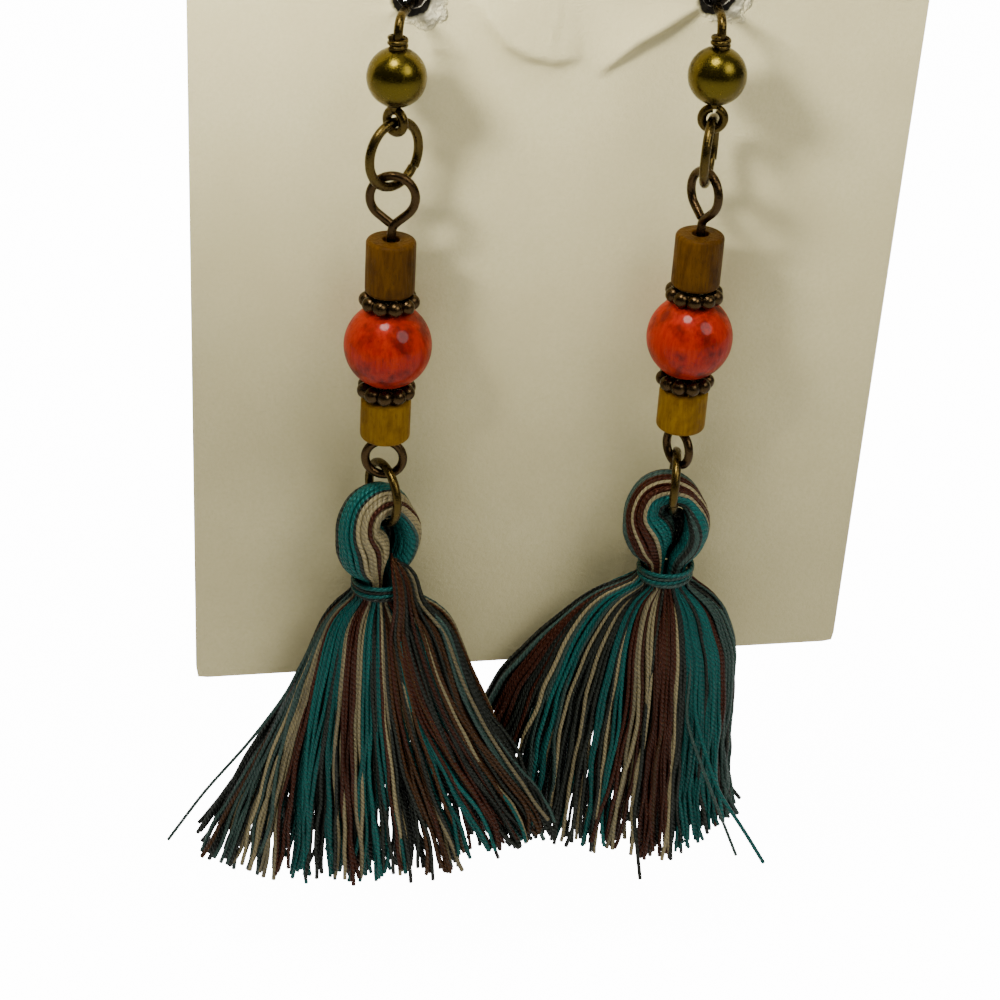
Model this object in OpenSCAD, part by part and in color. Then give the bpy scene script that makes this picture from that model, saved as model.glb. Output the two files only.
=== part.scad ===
// Pair of hanging tassel earrings, each hooked through a hole of one plain display card

/* [Card] */
// Width of the display card
card_w = 50.8; // [46:0.2:60]
// Height of the display card
card_h = 63.5; // [60:0.5:80]
// Thickness of the card board
card_t = 0.5; // [0.4:0.05:0.8]
// Radius of the card's corners
card_corner = 0.4; // [0.3:0.1:3]
// Diameter of the two hook holes
hole_d = 2.3; // [2:0.1:3]
// Distance of the holes below the card's top edge
hole_drop = 10.2; // [7:0.1:14]
// Distance of the left hole from the card's centre line
left_hole_x = 10.7; // [10:0.1:12]
// Distance of the right hole from the card's centre line
right_hole_x = 10.1; // [10:0.1:12]

/* [Ear hooks] */
// Diameter of the hook wire
hook_wire = 0.63; // [0.5:0.01:0.7]
// Distance from the middle of the card to the hook's front leg
hook_reach = 4.05; // [4.05:0.05:5.5]
// Radius of the bend from the hole down to the front leg
front_bend = 1.1; // [0.9:0.05:1.6]
// Straight run of the wire behind the card
back_run = 0.9; // [0.7:0.05:1.5]
// Radius of the wide bend behind the card
back_bend = 4.6; // [4.5:0.1:5.5]
// Length of the straight tail
tail_len = 9; // [6:0.5:14]
// Radius of the flare at the tail's end
flare_bend = 6; // [4:0.5:10]
// Turn of the flare in degrees
flare_turn = 25; // [10:1:35]
// Centre radius of the loop below the ball
hook_loop_r = 0.75; // [0.7:0.01:0.95]
// Diameter of the ball
ball_d = 4; // [3.6:0.1:4.6]
// Thickness of the coiled wire above the ball
coil_wire = 0.36; // [0.3:0.01:0.42]

/* [Rings and eye pin] */
// Diameter of the jump rings' wire
ring_wire = 0.65; // [0.5:0.01:0.7]
// Centre radius of the jump rings
ring_r = 2.25; // [2.2:0.01:2.6]
// Diameter of the eye pin's wire
pin_wire = 0.63; // [0.5:0.01:0.7]
// Centre radius of the pin's upper teardrop loop
drop_loop_r = 1.55; // [1.4:0.01:1.7]
// Distance from the teardrop's centre down to its point
drop_loop_len = 2.15; // [2:0.05:2.5]
// Centre radius of the pin's lower round loop
pin_loop_r = 1.35; // [1.2:0.01:1.5]
// Wire that shows between the teardrop's point and the first bead
pin_neck = 0.85; // [0.6:0.05:1.5]
// Free play between the eye pin's loops and the rings that they hang in
link_play = 0.1; // [0.08:0.01:0.14]

/* [Beads] */
// Diameter of the upper tube bead
upper_tube_d = 3.45; // [3:0.05:4]
// Length of the upper tube bead
upper_tube_len = 3.95; // [3:0.05:5]
// Diameter of the round bead
round_d = 6.15; // [5.5:0.05:6.5]
// Height of the round bead between its flat ends
round_h = 5.5; // [5:0.05:5.6]
// Diameter of the lower tube bead
lower_tube_d = 3.55; // [3:0.05:4]
// Length of the lower tube bead
lower_tube_len = 3.2; // [2.5:0.05:4]
// Rounding of the tube beads' rims
tube_edge = 0.3; // [0.1:0.05:0.4]
// Diameter of the holes through the beads
bead_bore = 1.2; // [0.9:0.05:1.4]
// Outer diameter of the granulated spacers
spacer_d = 4.25; // [3.9:0.05:4.6]
// Diameter of one granule of a spacer
granule_d = 1.15; // [1.05:0.05:1.3]
// Number of granules round a spacer
granules = 10; // [9:1:11]

/* [Tassels] */
// Length of the strands below the neck
skirt_len = 27; // [22:0.5:32]
// Half the width of a fanned skirt at its tips
skirt_half_w = 14; // [11:0.1:14.5]
// Half the depth of a skirt at its tips
skirt_half_d = 2.6; // [2:0.1:2.8]
// Height of the looped head above the neck
head_h = 8.4; // [8.3:0.05:9]
// Width of the looped head
head_w = 6.8; // [6:0.1:7.6]
// Diameter of the tied neck
neck_d = 3.5; // [3.2:0.05:4]
// Diameter of the binding thread
binding_wire = 0.5; // [0.4:0.02:0.6]
// Turns of the binding thread
binding_turns = 3; // [2:1:4]
// Gap between neighbouring pieces that touch on the real earring
seat_gap = 0.05; // [0.03:0.01:0.07]

/* [Hidden] */
$fn = 48;
SIDES = ["left", "right"];
PIECES = ["ear_hook", "hook_coil", "hook_ball", "upper_ring", "eye_pin",
    "tube_bead_upper", "spacer_upper", "round_bead", "spacer_lower",
    "tube_bead_lower", "lower_ring", "tassel", "tassel_binding"];

// How each earring is turned about its own vertical line, in degrees
LEFT = 0;
RIGHT = 1;
hook_yaw = [-20, -7.5];
hook_loop_yaw = [-52, -14];
upper_ring_yaw = [36, 67];
pin_yaw = [-12, -68];
lower_ring_yaw = [-71, 76];
head_yaw = [19, -14];
skirt_yaw = [-10, -10];
function turn(side, yaws) = yaws[side == "left" ? LEFT : RIGHT];

// Levels from the hole down, each from the piece above it
wire_joint = 1.03;
turn_pitch = 0.94;
hole_z = card_h / 2 - hole_drop;
wire_z = hole_z - hole_d / 2 + hook_wire / 2 + seat_gap / 2;
leg_top = wire_z - front_bend;
coil_r = (hook_wire + coil_wire) / 2 + seat_gap / 2;
coil_pitch = coil_wire * turn_pitch;
coil_top = leg_top - seat_gap;
coil_z = coil_top - coil_wire / 2 - coil_pitch;
ball_z = coil_z - sqrt(pow(ball_d / 2 + coil_wire / 2 + seat_gap, 2) - coil_r * coil_r);
ball_bore = hook_wire + 2 * seat_gap;
ball_foot = ball_z - sqrt(pow(ball_d, 2) - pow(ball_bore, 2)) / 2;
loop_out = hook_loop_r + hook_wire / 2;
loop_z = ball_foot - sqrt(pow(loop_out, 2) - pow(ball_bore / 2, 2)) - seat_gap;
hook_link = (hook_wire + ring_wire) / 2 + seat_gap;
pin_link = (pin_wire + ring_wire) / 2 + link_play;
upper_ring_z = loop_z - hook_loop_r + hook_link - ring_r;
pivot_z = upper_ring_z - ring_r;
drop_loop_z = pivot_z + pin_link - drop_loop_r;
apex_z = drop_loop_z - drop_loop_len;
upper_tube_z = apex_z - pin_neck - upper_tube_len;
upper_spacer_z = upper_tube_z - seat_gap - granule_d;
round_z = upper_spacer_z - seat_gap - round_h;
lower_spacer_z = round_z - seat_gap - granule_d;
lower_tube_z = lower_spacer_z - seat_gap - lower_tube_len;
pin_loop_z = lower_tube_z - seat_gap - pin_loop_r - pin_wire / 2;
lower_ring_z = pin_loop_z - pin_loop_r + pin_link - ring_r;
thread_z = lower_ring_z - ring_r;
head_seat = ring_wire / 2 + 2 * seat_gap;
head_core = 0.166;
binding_pitch = binding_wire * turn_pitch;
collar = binding_pitch * (binding_turns - 1) / 2 + binding_wire / 2 + seat_gap;
neck_z = thread_z + head_seat + 2 * head_core * head_h - head_h;

brass = [0.42, 0.36, 0.17];
bronze = [0.25, 0.2, 0.14];
brown_wood = [0.55, 0.34, 0.12];
red_wood = [0.82, 0.22, 0.07];
yellow_wood = [0.68, 0.49, 0.13];
thread_teal = [0.08, 0.42, 0.43];
thread_grey = [0.3, 0.45, 0.46];
card_cream = [0.82, 0.79, 0.72];

// Where a side's hole is, and the vertical line that its drop hangs on
function hole_x(side) = side == "left" ? -left_hole_x : right_hole_x;
function line_x(side) = hole_x(side) + hook_reach * sin(turn(side, hook_yaw));
function line_y(side) = -card_t / 2 - hook_reach * cos(turn(side, hook_yaw));

module on_line(side, z, yaw = 0) {
    translate([line_x(side), line_y(side), z])
        rotate([0, 0, yaw])
            children();
}

// Wire pieces in the XZ plane, with a hair thicker ball over each joint
module wire_arc(r, wire, from, to) {
    rotate([90, 0, 0])
        rotate([0, 0, from])
            rotate_extrude(angle = to - from)
                translate([r, 0])
                    circle(d = wire);
}

module wire_rod(a, b, wire) {
    run = b - a;
    translate([a[0], 0, a[1]])
        rotate([0, atan2(run[0], run[1]), 0])
            cylinder(d = wire, h = norm(run));
}

module joint_ball(at, wire) {
    translate([at[0], 0, at[1]])
        sphere(d = wire * wire_joint);
}

module wire_ring(r, wire) {
    rotate([90, 0, 0])
        rotate_extrude()
            translate([r, 0])
                circle(d = wire);
}

// The card
module card() {
    w = card_w / 2 - card_corner;
    h = card_h / 2 - card_corner;
    color(card_cream)
        rotate([90, 0, 0])
            linear_extrude(card_t)
                difference() {
                    union() {
                        square([2 * w, card_h], center = true);
                        square([card_w, 2 * h], center = true);
                        for (x = [-w, w], z = [-h, h])
                            translate([x, z])
                                circle(card_corner);
                    }
                    for (side = SIDES)
                        translate([hole_x(side), hole_z])
                            circle(d = hole_d);
                }
}

// The ear hook: loop, front leg, bend, run through the hole, wide bend, tail and flare
module ear_hook(side) {
    bend_at = [hook_reach - front_bend, wire_z];
    back_at = [-back_run, wire_z];
    tail_top = [-back_run - back_bend, wire_z - back_bend];
    tail_end = tail_top - [0, tail_len];
    flare_at = tail_end - [flare_bend, 0];
    flare_end = flare_at + flare_bend * [cos(flare_turn), -sin(flare_turn)];
    leg_at = [hook_reach, leg_top];
    leg_foot = [hook_reach, loop_z + hook_loop_r];
    color(brass) {
        translate([hole_x(side), -card_t / 2, 0])
            rotate([0, 0, turn(side, hook_yaw) - 90]) {
                joint_ball(leg_foot, hook_wire);
                wire_rod(leg_foot, leg_at, hook_wire);
                joint_ball(leg_at, hook_wire);
                translate([bend_at[0], 0, leg_top])
                    wire_arc(front_bend, hook_wire, 0, 90);
                wire_rod(back_at, bend_at, hook_wire);
                joint_ball(back_at, hook_wire);
                translate([-back_run, 0, tail_top[1]])
                    wire_arc(back_bend, hook_wire, 90, 180);
                joint_ball(tail_top, hook_wire);
                wire_rod(tail_end, tail_top, hook_wire);
                joint_ball(tail_end, hook_wire);
                translate([flare_at[0], 0, flare_at[1]])
                    wire_arc(flare_bend, hook_wire, -flare_turn, 0);
                joint_ball(flare_end, hook_wire);
            }
        on_line(side, loop_z, turn(side, hook_loop_yaw))
            wire_ring(hook_loop_r, hook_wire);
    }
}

module hook_coil(side) {
    color(brass)
        on_line(side, coil_z)
            for (i = [0, 1])
                translate([0, 0, i * coil_pitch])
                    rotate_extrude()
                        translate([coil_r, 0])
                            circle(d = coil_wire);
}

module hook_ball(side) {
    color(brass)
        on_line(side, ball_z)
            difference() {
                sphere(d = ball_d);
                cylinder(d = ball_bore, h = 2 * ball_d, center = true);
            }
}

module upper_ring(side) {
    color(brass)
        on_line(side, upper_ring_z, turn(side, upper_ring_yaw))
            wire_ring(ring_r, ring_wire);
}

module lower_ring(side) {
    color(brass)
        on_line(side, lower_ring_z, turn(side, lower_ring_yaw))
            wire_ring(ring_r, ring_wire);
}

// The eye pin: a teardrop loop, a straight shank through the beads and a round loop
module eye_pin(side) {
    lean = asin(drop_loop_r / drop_loop_len);
    shoulder = drop_loop_r * [cos(lean), -sin(lean)];
    left_foot = [-shoulder[0], drop_loop_z + shoulder[1]];
    right_foot = [shoulder[0], drop_loop_z + shoulder[1]];
    apex = [0, apex_z];
    color(bronze)
        on_line(side, 0, turn(side, pin_yaw)) {
            translate([0, 0, drop_loop_z])
                wire_arc(drop_loop_r, pin_wire, -lean, 180 + lean);
            joint_ball(left_foot, pin_wire);
            joint_ball(right_foot, pin_wire);
            wire_rod(apex, left_foot, pin_wire);
            wire_rod(apex, right_foot, pin_wire);
            joint_ball(apex, pin_wire);
            wire_rod([0, pin_loop_z + pin_loop_r], apex, pin_wire);
            translate([0, 0, pin_loop_z])
                wire_ring(pin_loop_r, pin_wire);
        }
}

// A straight wooden tube with softly rounded rims
module tube_bead(d, len) {
    flat_r = d / 2 - tube_edge;
    rotate_extrude()
        union() {
            translate([bead_bore / 2, 0])
                square([flat_r - bead_bore / 2, len]);
            translate([bead_bore / 2, tube_edge])
                square([d / 2 - bead_bore / 2, len - 2 * tube_edge]);
            for (z = [tube_edge, len - tube_edge])
                translate([flat_r, z])
                    circle(tube_edge);
        }
}

module tube_bead_upper(side) {
    color(brown_wood)
        on_line(side, upper_tube_z)
            tube_bead(upper_tube_d, upper_tube_len);
}

module tube_bead_lower(side) {
    color(yellow_wood)
        on_line(side, lower_tube_z)
            tube_bead(lower_tube_d, lower_tube_len);
}

module round_bead(side) {
    color(red_wood)
        on_line(side, round_z)
            difference() {
                intersection() {
                    translate([0, 0, round_h / 2])
                        sphere(d = round_d);
                    cylinder(d = 2 * round_d, h = round_h);
                }
                cylinder(d = bead_bore, h = 3 * round_h, center = true);
            }
}

// A spacer: granules round a plain band
band_share = 0.62;

module spacer() {
    centre_r = (spacer_d - granule_d) / 2;
    band_h = granule_d * band_share;
    translate([0, 0, granule_d / 2]) {
        difference() {
            cylinder(r = centre_r, h = band_h, center = true);
            cylinder(d = bead_bore, h = 2 * granule_d, center = true);
        }
        for (i = [0:granules - 1])
            rotate([0, 0, 360 * i / granules])
                translate([centre_r, 0, 0])
                    sphere(d = granule_d);
    }
}

module spacer_upper(side) {
    color(bronze)
        on_line(side, upper_spacer_z, turn(side, pin_yaw))
            spacer();
}

module spacer_lower(side) {
    color(bronze)
        on_line(side, lower_spacer_z, turn(side, pin_yaw) + 180 / granules)
            spacer();
}

// The tassel's looped head, as a bundle swept over the lower ring.
// Columns: across and up, as shares of the head's width and height, then half the
// bundle's thickness in and across the loop's plane, as shares of the head's width.
// Two more rows at each end carry the bundle's legs down through the binding
ACROSS = 0;
UP = 1;
THICK = 2;
BROAD = 3;
head_shape = [
    [-0.20, 0.24, 0.26, 0.29],
    [-0.225, 0.42, 0.31, 0.32],
    [-0.30, 0.60, 0.225, 0.30],
    [-0.22, 0.775, 0.205, 0.265],
    [-0.03, 0.834, 0.203, 0.245],
    [0.155, 0.78, 0.185, 0.235],
    [0.27, 0.62, 0.16, 0.235],
    [0.31, 0.45, 0.15, 0.235],
    [0.25, 0.26, 0.14, 0.22]
];
leg_offset = neck_d * 0.235;
leg_thick = neck_d * 0.215;
leg_broad = neck_d * 0.38;
leg_top_z = collar + leg_thick / 3;
strip_points = 16;
strip_groove = 0.92;

// The rows in millimetres, down one leg to the other
head_rows = concat(
    [for (z = [-collar, leg_top_z]) [-leg_offset, z, leg_thick, leg_broad]],
    [for (row = head_shape)
        [row[ACROSS] * head_w, row[UP] * head_h, row[THICK] * head_w, row[BROAD] * head_w]],
    [for (z = [leg_top_z, -collar]) [leg_offset, z, leg_thick, leg_broad]]);

function head_point(i) = [head_rows[i][ACROSS], head_rows[i][UP]];
function head_way(i) =
    let (last = len(head_rows) - 1)
    let (step = head_point(min(i + 1, last)) - head_point(max(i - 1, 0)))
    step / norm(step);
function head_ring(i) =
    let (at = head_point(i), way = head_way(i))
    let (thick = head_rows[i][THICK], broad = head_rows[i][BROAD])
    [for (j = [0:strip_points - 1])
        let (a = 360 * j / strip_points, r = j % 2 == 0 ? 1 : strip_groove)
        [at[0] + way[1] * thick * r * cos(a), broad * r * sin(a), at[1] - way[0] * thick * r * cos(a)]];

module tube_of_rings(rings) {
    n = len(rings[0]);
    top = len(rings) - 1;
    walls = [for (i = [0:top - 1], j = [0:n - 1])
        [i * n + j, (i + 1) * n + j, (i + 1) * n + (j + 1) % n, i * n + (j + 1) % n]];
    first = [for (j = [0:n - 1]) j];
    last = [for (j = [n - 1:-1:0]) top * n + j];
    polyhedron([for (ring = rings) for (p = ring) p], concat([first], walls, [last]));
}

module tassel_head() {
    tube_of_rings([for (i = [0:len(head_rows) - 1]) head_ring(i)]);
}

// The skirt, a fan of locks that part below a common body.
// Columns: depth down the strands below the binding as a share of their length there,
// then the spread to the left and right as shares of half the skirt's width, and half
// its depth as a share
DOWN = 0;
SPREAD_LEFT = 1;
SPREAD_RIGHT = 2;
DEEP = 3;
left_fan = [
    [-0.04, 0, 0, 0],
    [0, 0, 0, 0],
    [0.035, 0.12, 0.20, 0.14],
    [0.10, 0.22, 0.34, 0.42],
    [0.25, 0.33, 0.44, 0.70],
    [0.42, 0.47, 0.57, 0.88],
    [0.62, 0.66, 0.74, 1.00],
    [0.82, 0.84, 0.89, 1.02],
    [1.00, 0.98, 0.98, 1.00]
];
right_fan = [
    [-0.04, 0, 0, 0],
    [0, 0, 0, 0],
    [0.035, 0.22, 0.14, 0.14],
    [0.10, 0.38, 0.28, 0.42],
    [0.25, 0.62, 0.375, 0.70],
    [0.42, 0.84, 0.38, 0.88],
    [0.62, 0.96, 0.385, 1.00],
    [0.82, 1.03, 0.41, 1.02],
    [1.00, 1.08, 0.47, 1.00]
];
// Length of each lock as a share, from the right edge round the back to the left edge
// and along the front
left_locks = [0.98, 0.94, 0.90, 0.93, 0.88, 0.95, 0.97, 0.94, 0.98, 0.97, 1.02, 1.08,
    1.12, 1.08, 1.06, 1.03, 0.98, 0.97, 0.95, 0.96, 0.92, 0.95, 0.95, 0.98];
right_locks = [0.93, 0.96, 0.90, 0.95, 0.93, 0.94, 0.92, 0.90, 0.92, 0.88, 0.91, 0.88,
    0.92, 0.92, 0.94, 0.92, 0.94, 0.93, 0.95, 0.96, 0.94, 0.93, 0.96, 0.94];
lock_points = 4;
lock_groove = 0.9;
lock_edge = 0.97;
lock_widths = [1, 0.62, 0.2];
parting_row = 6;
side_lift = 0.14;
inner_share = 0.5;

function fan(side) = side == "left" ? left_fan : right_fan;
function locks(side) = side == "left" ? left_locks : right_locks;
function skirt_point(side, row, a, r, reach = 1) =
    let (c = cos(a), table = fan(side)[row], neck = neck_d / 2)
    let (spread = (c < 0 ? table[SPREAD_LEFT] : table[SPREAD_RIGHT]) * skirt_half_w)
    let (deep = table[DEEP] * skirt_half_d)
    let (down = collar + table[DOWN] * (skirt_len * reach - collar))
    [c * r * (neck + spread * (1 - neck / skirt_half_w)),
        sin(a) * r * (neck + deep * (1 - neck / skirt_half_d)),
        -down * (1 - side_lift * c * c * table[DOWN])];

// The ring of points round one lock, one or two rows below the parting
function lock_ring(side, k, step) =
    let (n = len(locks(side)), row = parting_row + step, width = lock_widths[step])
    let (reach = row == len(fan(side)) - 1 ? locks(side)[k] : 1)
    let (mid = (k + 0.5) * 360 / n, half = 180 / n * width)
    concat(
        [for (i = [0:lock_points])
            let (a = mid + half * (2 * i / lock_points - 1), at_edge = i == 0 || i == lock_points)
            skirt_point(side, row, a, at_edge ? lock_edge : 1, reach)],
        [for (i = [1, -1])
            skirt_point(side, row, mid + half * i, 1 - (1 - inner_share) * width, reach)]);

module tassel_skirt(side) {
    n = len(locks(side));
    m = n * lock_points;
    body = [for (row = [0:parting_row]) for (j = [0:m - 1])
        skirt_point(side, row, 360 * j / m, j % lock_points == 0 ? lock_groove : 1)];
    inner = [for (k = [0:n - 1]) skirt_point(side, parting_row, 360 * k / n, inner_share)];
    middle = [skirt_point(side, parting_row, 90, 0)];
    strips = [for (k = [0:n - 1]) for (step = [1, 2]) each lock_ring(side, k, step)];
    inner_at = len(body);
    middle_at = inner_at + n;
    lock_at = middle_at + 1;
    edge = lock_points + 1;
    sides = edge + 2;
    function rim(k, i) = parting_row * m + (k * lock_points + i) % m;
    function ring_index(k, step, i) =
        step > 0 ? lock_at + (k * 2 + step - 1) * sides + i
        : i < edge ? rim(k, i)
        : inner_at + (i == edge ? (k + 1) % n : k);
    walls = [for (row = [0:parting_row - 1], j = [0:m - 1])
        [row * m + j, row * m + (j + 1) % m, (row + 1) * m + (j + 1) % m, (row + 1) * m + j]];
    strip_walls = [for (k = [0:n - 1], step = [0, 1], i = [0:sides - 1])
        [ring_index(k, step, i), ring_index(k, step, (i + 1) % sides),
            ring_index(k, step + 1, (i + 1) % sides), ring_index(k, step + 1, i)]];
    tips = [for (k = [0:n - 1]) [for (i = [0:sides - 1]) ring_index(k, 2, i)]];
    crotch = [for (k = [0:n - 1]) [middle_at, inner_at + k, inner_at + (k + 1) % n]];
    top = [[for (j = [m - 1:-1:0]) j]];
    polyhedron(concat(body, inner, middle, strips), concat(top, walls, strip_walls, tips, crotch));
}

// The strands drawn together under the binding, in upright bundles from head to skirt
bundles = 10;
bundle_share = 0.14;
bundle_half_h = binding_wire * (binding_turns / 2 + 0.3);

module neck_bundles() {
    bundle_r = neck_d * bundle_share;
    for (i = [0:bundles - 1])
        rotate([0, 0, 360 * i / bundles])
            hull()
                for (z = [-1, 1])
                    translate([neck_d / 2 - bundle_r, 0, z * bundle_half_h])
                        sphere(bundle_r, $fn = 8);
}

module tassel(side) {
    color(thread_teal) {
        on_line(side, neck_z, turn(side, head_yaw)) {
            tassel_head();
            neck_bundles();
        }
        on_line(side, neck_z, turn(side, skirt_yaw))
            tassel_skirt(side);
    }
}

// The binding: touching turns of thread round the neck
module tassel_binding(side) {
    centre_r = (neck_d + binding_wire) / 2 + seat_gap;
    color(thread_grey)
        on_line(side, neck_z - binding_pitch * (binding_turns - 1) / 2)
            for (i = [0:binding_turns - 1])
                translate([0, 0, i * binding_pitch])
                    rotate_extrude()
                        translate([centre_r, 0])
                            circle(d = binding_wire);
}

card();
for (side = SIDES) {
    ear_hook(side);
    hook_coil(side);
    hook_ball(side);
    upper_ring(side);
    eye_pin(side);
    tube_bead_upper(side);
    spacer_upper(side);
    round_bead(side);
    spacer_lower(side);
    tube_bead_lower(side);
    lower_ring(side);
    tassel(side);
    tassel_binding(side);
}
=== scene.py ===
import math
import bpy
import numpy as np
from mathutils import Matrix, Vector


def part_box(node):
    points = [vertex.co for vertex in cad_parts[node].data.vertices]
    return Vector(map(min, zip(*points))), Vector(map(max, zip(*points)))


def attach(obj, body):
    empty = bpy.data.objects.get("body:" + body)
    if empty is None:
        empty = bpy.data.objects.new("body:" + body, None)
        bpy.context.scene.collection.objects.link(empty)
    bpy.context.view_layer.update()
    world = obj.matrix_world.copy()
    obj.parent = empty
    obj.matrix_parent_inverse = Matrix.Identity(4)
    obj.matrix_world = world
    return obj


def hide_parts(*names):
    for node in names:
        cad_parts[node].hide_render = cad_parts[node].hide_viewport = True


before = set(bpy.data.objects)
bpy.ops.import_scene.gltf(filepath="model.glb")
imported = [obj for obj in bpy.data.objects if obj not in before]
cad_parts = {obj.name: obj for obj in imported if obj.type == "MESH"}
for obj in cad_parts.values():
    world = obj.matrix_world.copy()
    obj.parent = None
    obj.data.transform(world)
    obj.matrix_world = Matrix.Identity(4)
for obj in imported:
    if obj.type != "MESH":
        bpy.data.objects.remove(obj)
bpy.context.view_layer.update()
mm = 0.001
dice = np.random.default_rng(11)
print("frame loaded")

# Camera at the photo's angle: turns in degrees, place and lens in millimetres
shot = {"azimuth": 12.37, "elevation": 29.42, "roll": 3.6, "place": (-33.9, -143.0, 64.95), "lens": 80.5,
        "sensor": 36, "near": 0.01, "far": 20}


def unit(vectors):
    return vectors / np.linalg.norm(vectors, axis=-1, keepdims=True)


def standAt(thing, place, across, upward, ahead):
    # Stands a camera or a light at a place in metres, looking ahead
    axes = Matrix(np.column_stack([across, upward, -ahead]).tolist()).to_4x4()
    thing.matrix_world = Matrix.Translation(place) @ axes
    bpy.context.scene.collection.objects.link(thing)


def aimCamera():
    turn, tilt, roll = (math.radians(shot[key]) for key in ("azimuth", "elevation", "roll"))
    ahead = np.array([math.sin(turn) * math.cos(tilt), math.cos(turn) * math.cos(tilt), -math.sin(tilt)])
    level = np.array([math.cos(turn), -math.sin(turn), 0.0])
    upright = np.cross(level, ahead)
    lens = bpy.data.cameras.new("photoLens")
    lens.lens = shot["lens"]
    lens.sensor_width = shot["sensor"]
    lens.clip_start = shot["near"]
    lens.clip_end = shot["far"]
    camera = bpy.data.objects.new("photoCamera", lens)
    standAt(camera, [v * mm for v in shot["place"]], level * math.cos(roll) + upright * math.sin(roll),
            upright * math.cos(roll) - level * math.sin(roll), ahead)
    bpy.context.scene.camera = camera


aimCamera()

# Where each earring hangs and how its pieces are turned, in millimetres and degrees
earrings = {
    "left": {"line": (-12.0852, -4.0558), "holeX": -10.7, "hook": -20, "loop": -52, "upperRing": 36,
             "pin": -12, "lowerRing": -71, "head": 19, "skirt": -10, "ringBody": "left_drop",
             "skirtSeed": 31, "headSeed": 1000},
    "right": {"line": (9.5714, -4.2653), "holeX": 10.1, "hook": -7.5, "loop": -14, "upperRing": 67,
              "pin": -68, "lowerRing": 76, "head": -14, "skirt": -10, "ringBody": "held",
              "skirtSeed": 57, "headSeed": 2000},
}


def turned(points, yaw):
    # Turned about the upright axis, anticlockwise from above
    a = math.radians(yaw)
    spin = np.array([[math.cos(a), math.sin(a), 0], [-math.sin(a), math.cos(a), 0], [0, 0, 1]])
    return np.asarray(points, float) @ spin


def onLine(points, side, z, yaw=0.0):
    # Turned, then moved to an earring's line and a height
    return turned(points, yaw) + np.array([*earrings[side]["line"], z])


def arc(centre, radius, start, end, count):
    # A round bend in the upright plane that faces forward
    a = np.radians(np.linspace(start, end, count))
    return np.column_stack([centre[0] + radius * np.cos(a), 0 * a, centre[1] + radius * np.sin(a)])


def winding(radius, a, z):
    return np.column_stack([radius * np.cos(a), radius * np.sin(a), z])


def runAlong(points):
    # Length travelled at each point of a path
    return np.concatenate([[0], np.cumsum(np.linalg.norm(np.diff(points, axis=0), axis=1))])


def spaced(points, count):
    run = runAlong(points)
    at = np.linspace(0, run[-1], count)
    return np.column_stack([np.interp(at, run, column) for column in points.T])


def resample(points, step):
    # Even steps along a path, with repeated points left out
    moved = np.linalg.norm(np.diff(points, axis=0), axis=1) > 1e-6
    points = points[np.concatenate([[True], moved])]
    return spaced(points, max(2, int(round(runAlong(points)[-1] / step)) + 1))


def smoothed(points, rounds):
    # Each point is drawn towards its neighbours, and the ends stay
    for _ in range(rounds):
        middle = 0.25 * np.roll(points, 1, 0) + 0.5 * points + 0.25 * np.roll(points, -1, 0)
        middle[0], middle[-1] = points[0], points[-1]
        points = middle
    return points


def newPiece(name, verts, faces, body, nodes, material, uv=None, tone=None, flat=0):
    # flat: how many of the last faces aren't smooth
    mesh = bpy.data.meshes.new(name)
    mesh.from_pydata((np.asarray(verts) * mm).tolist(), [], faces)
    mesh.polygons.foreach_set("use_smooth", np.arange(len(faces)) < len(faces) - flat)
    if uv is not None:
        mesh.uv_layers.new(name="UVMap").data.foreach_set("uv", np.asarray(uv, np.float32).ravel())
    if tone is not None:
        mesh.attributes.new("tone", "FLOAT", "POINT").data.foreach_set("value", np.asarray(tone, np.float32))
    mesh.update()
    piece = bpy.data.objects.new(name, mesh)
    bpy.context.scene.collection.objects.link(piece)
    mesh.materials.append(material)
    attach(piece, body)
    for node in nodes:
        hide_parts(node)


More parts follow.
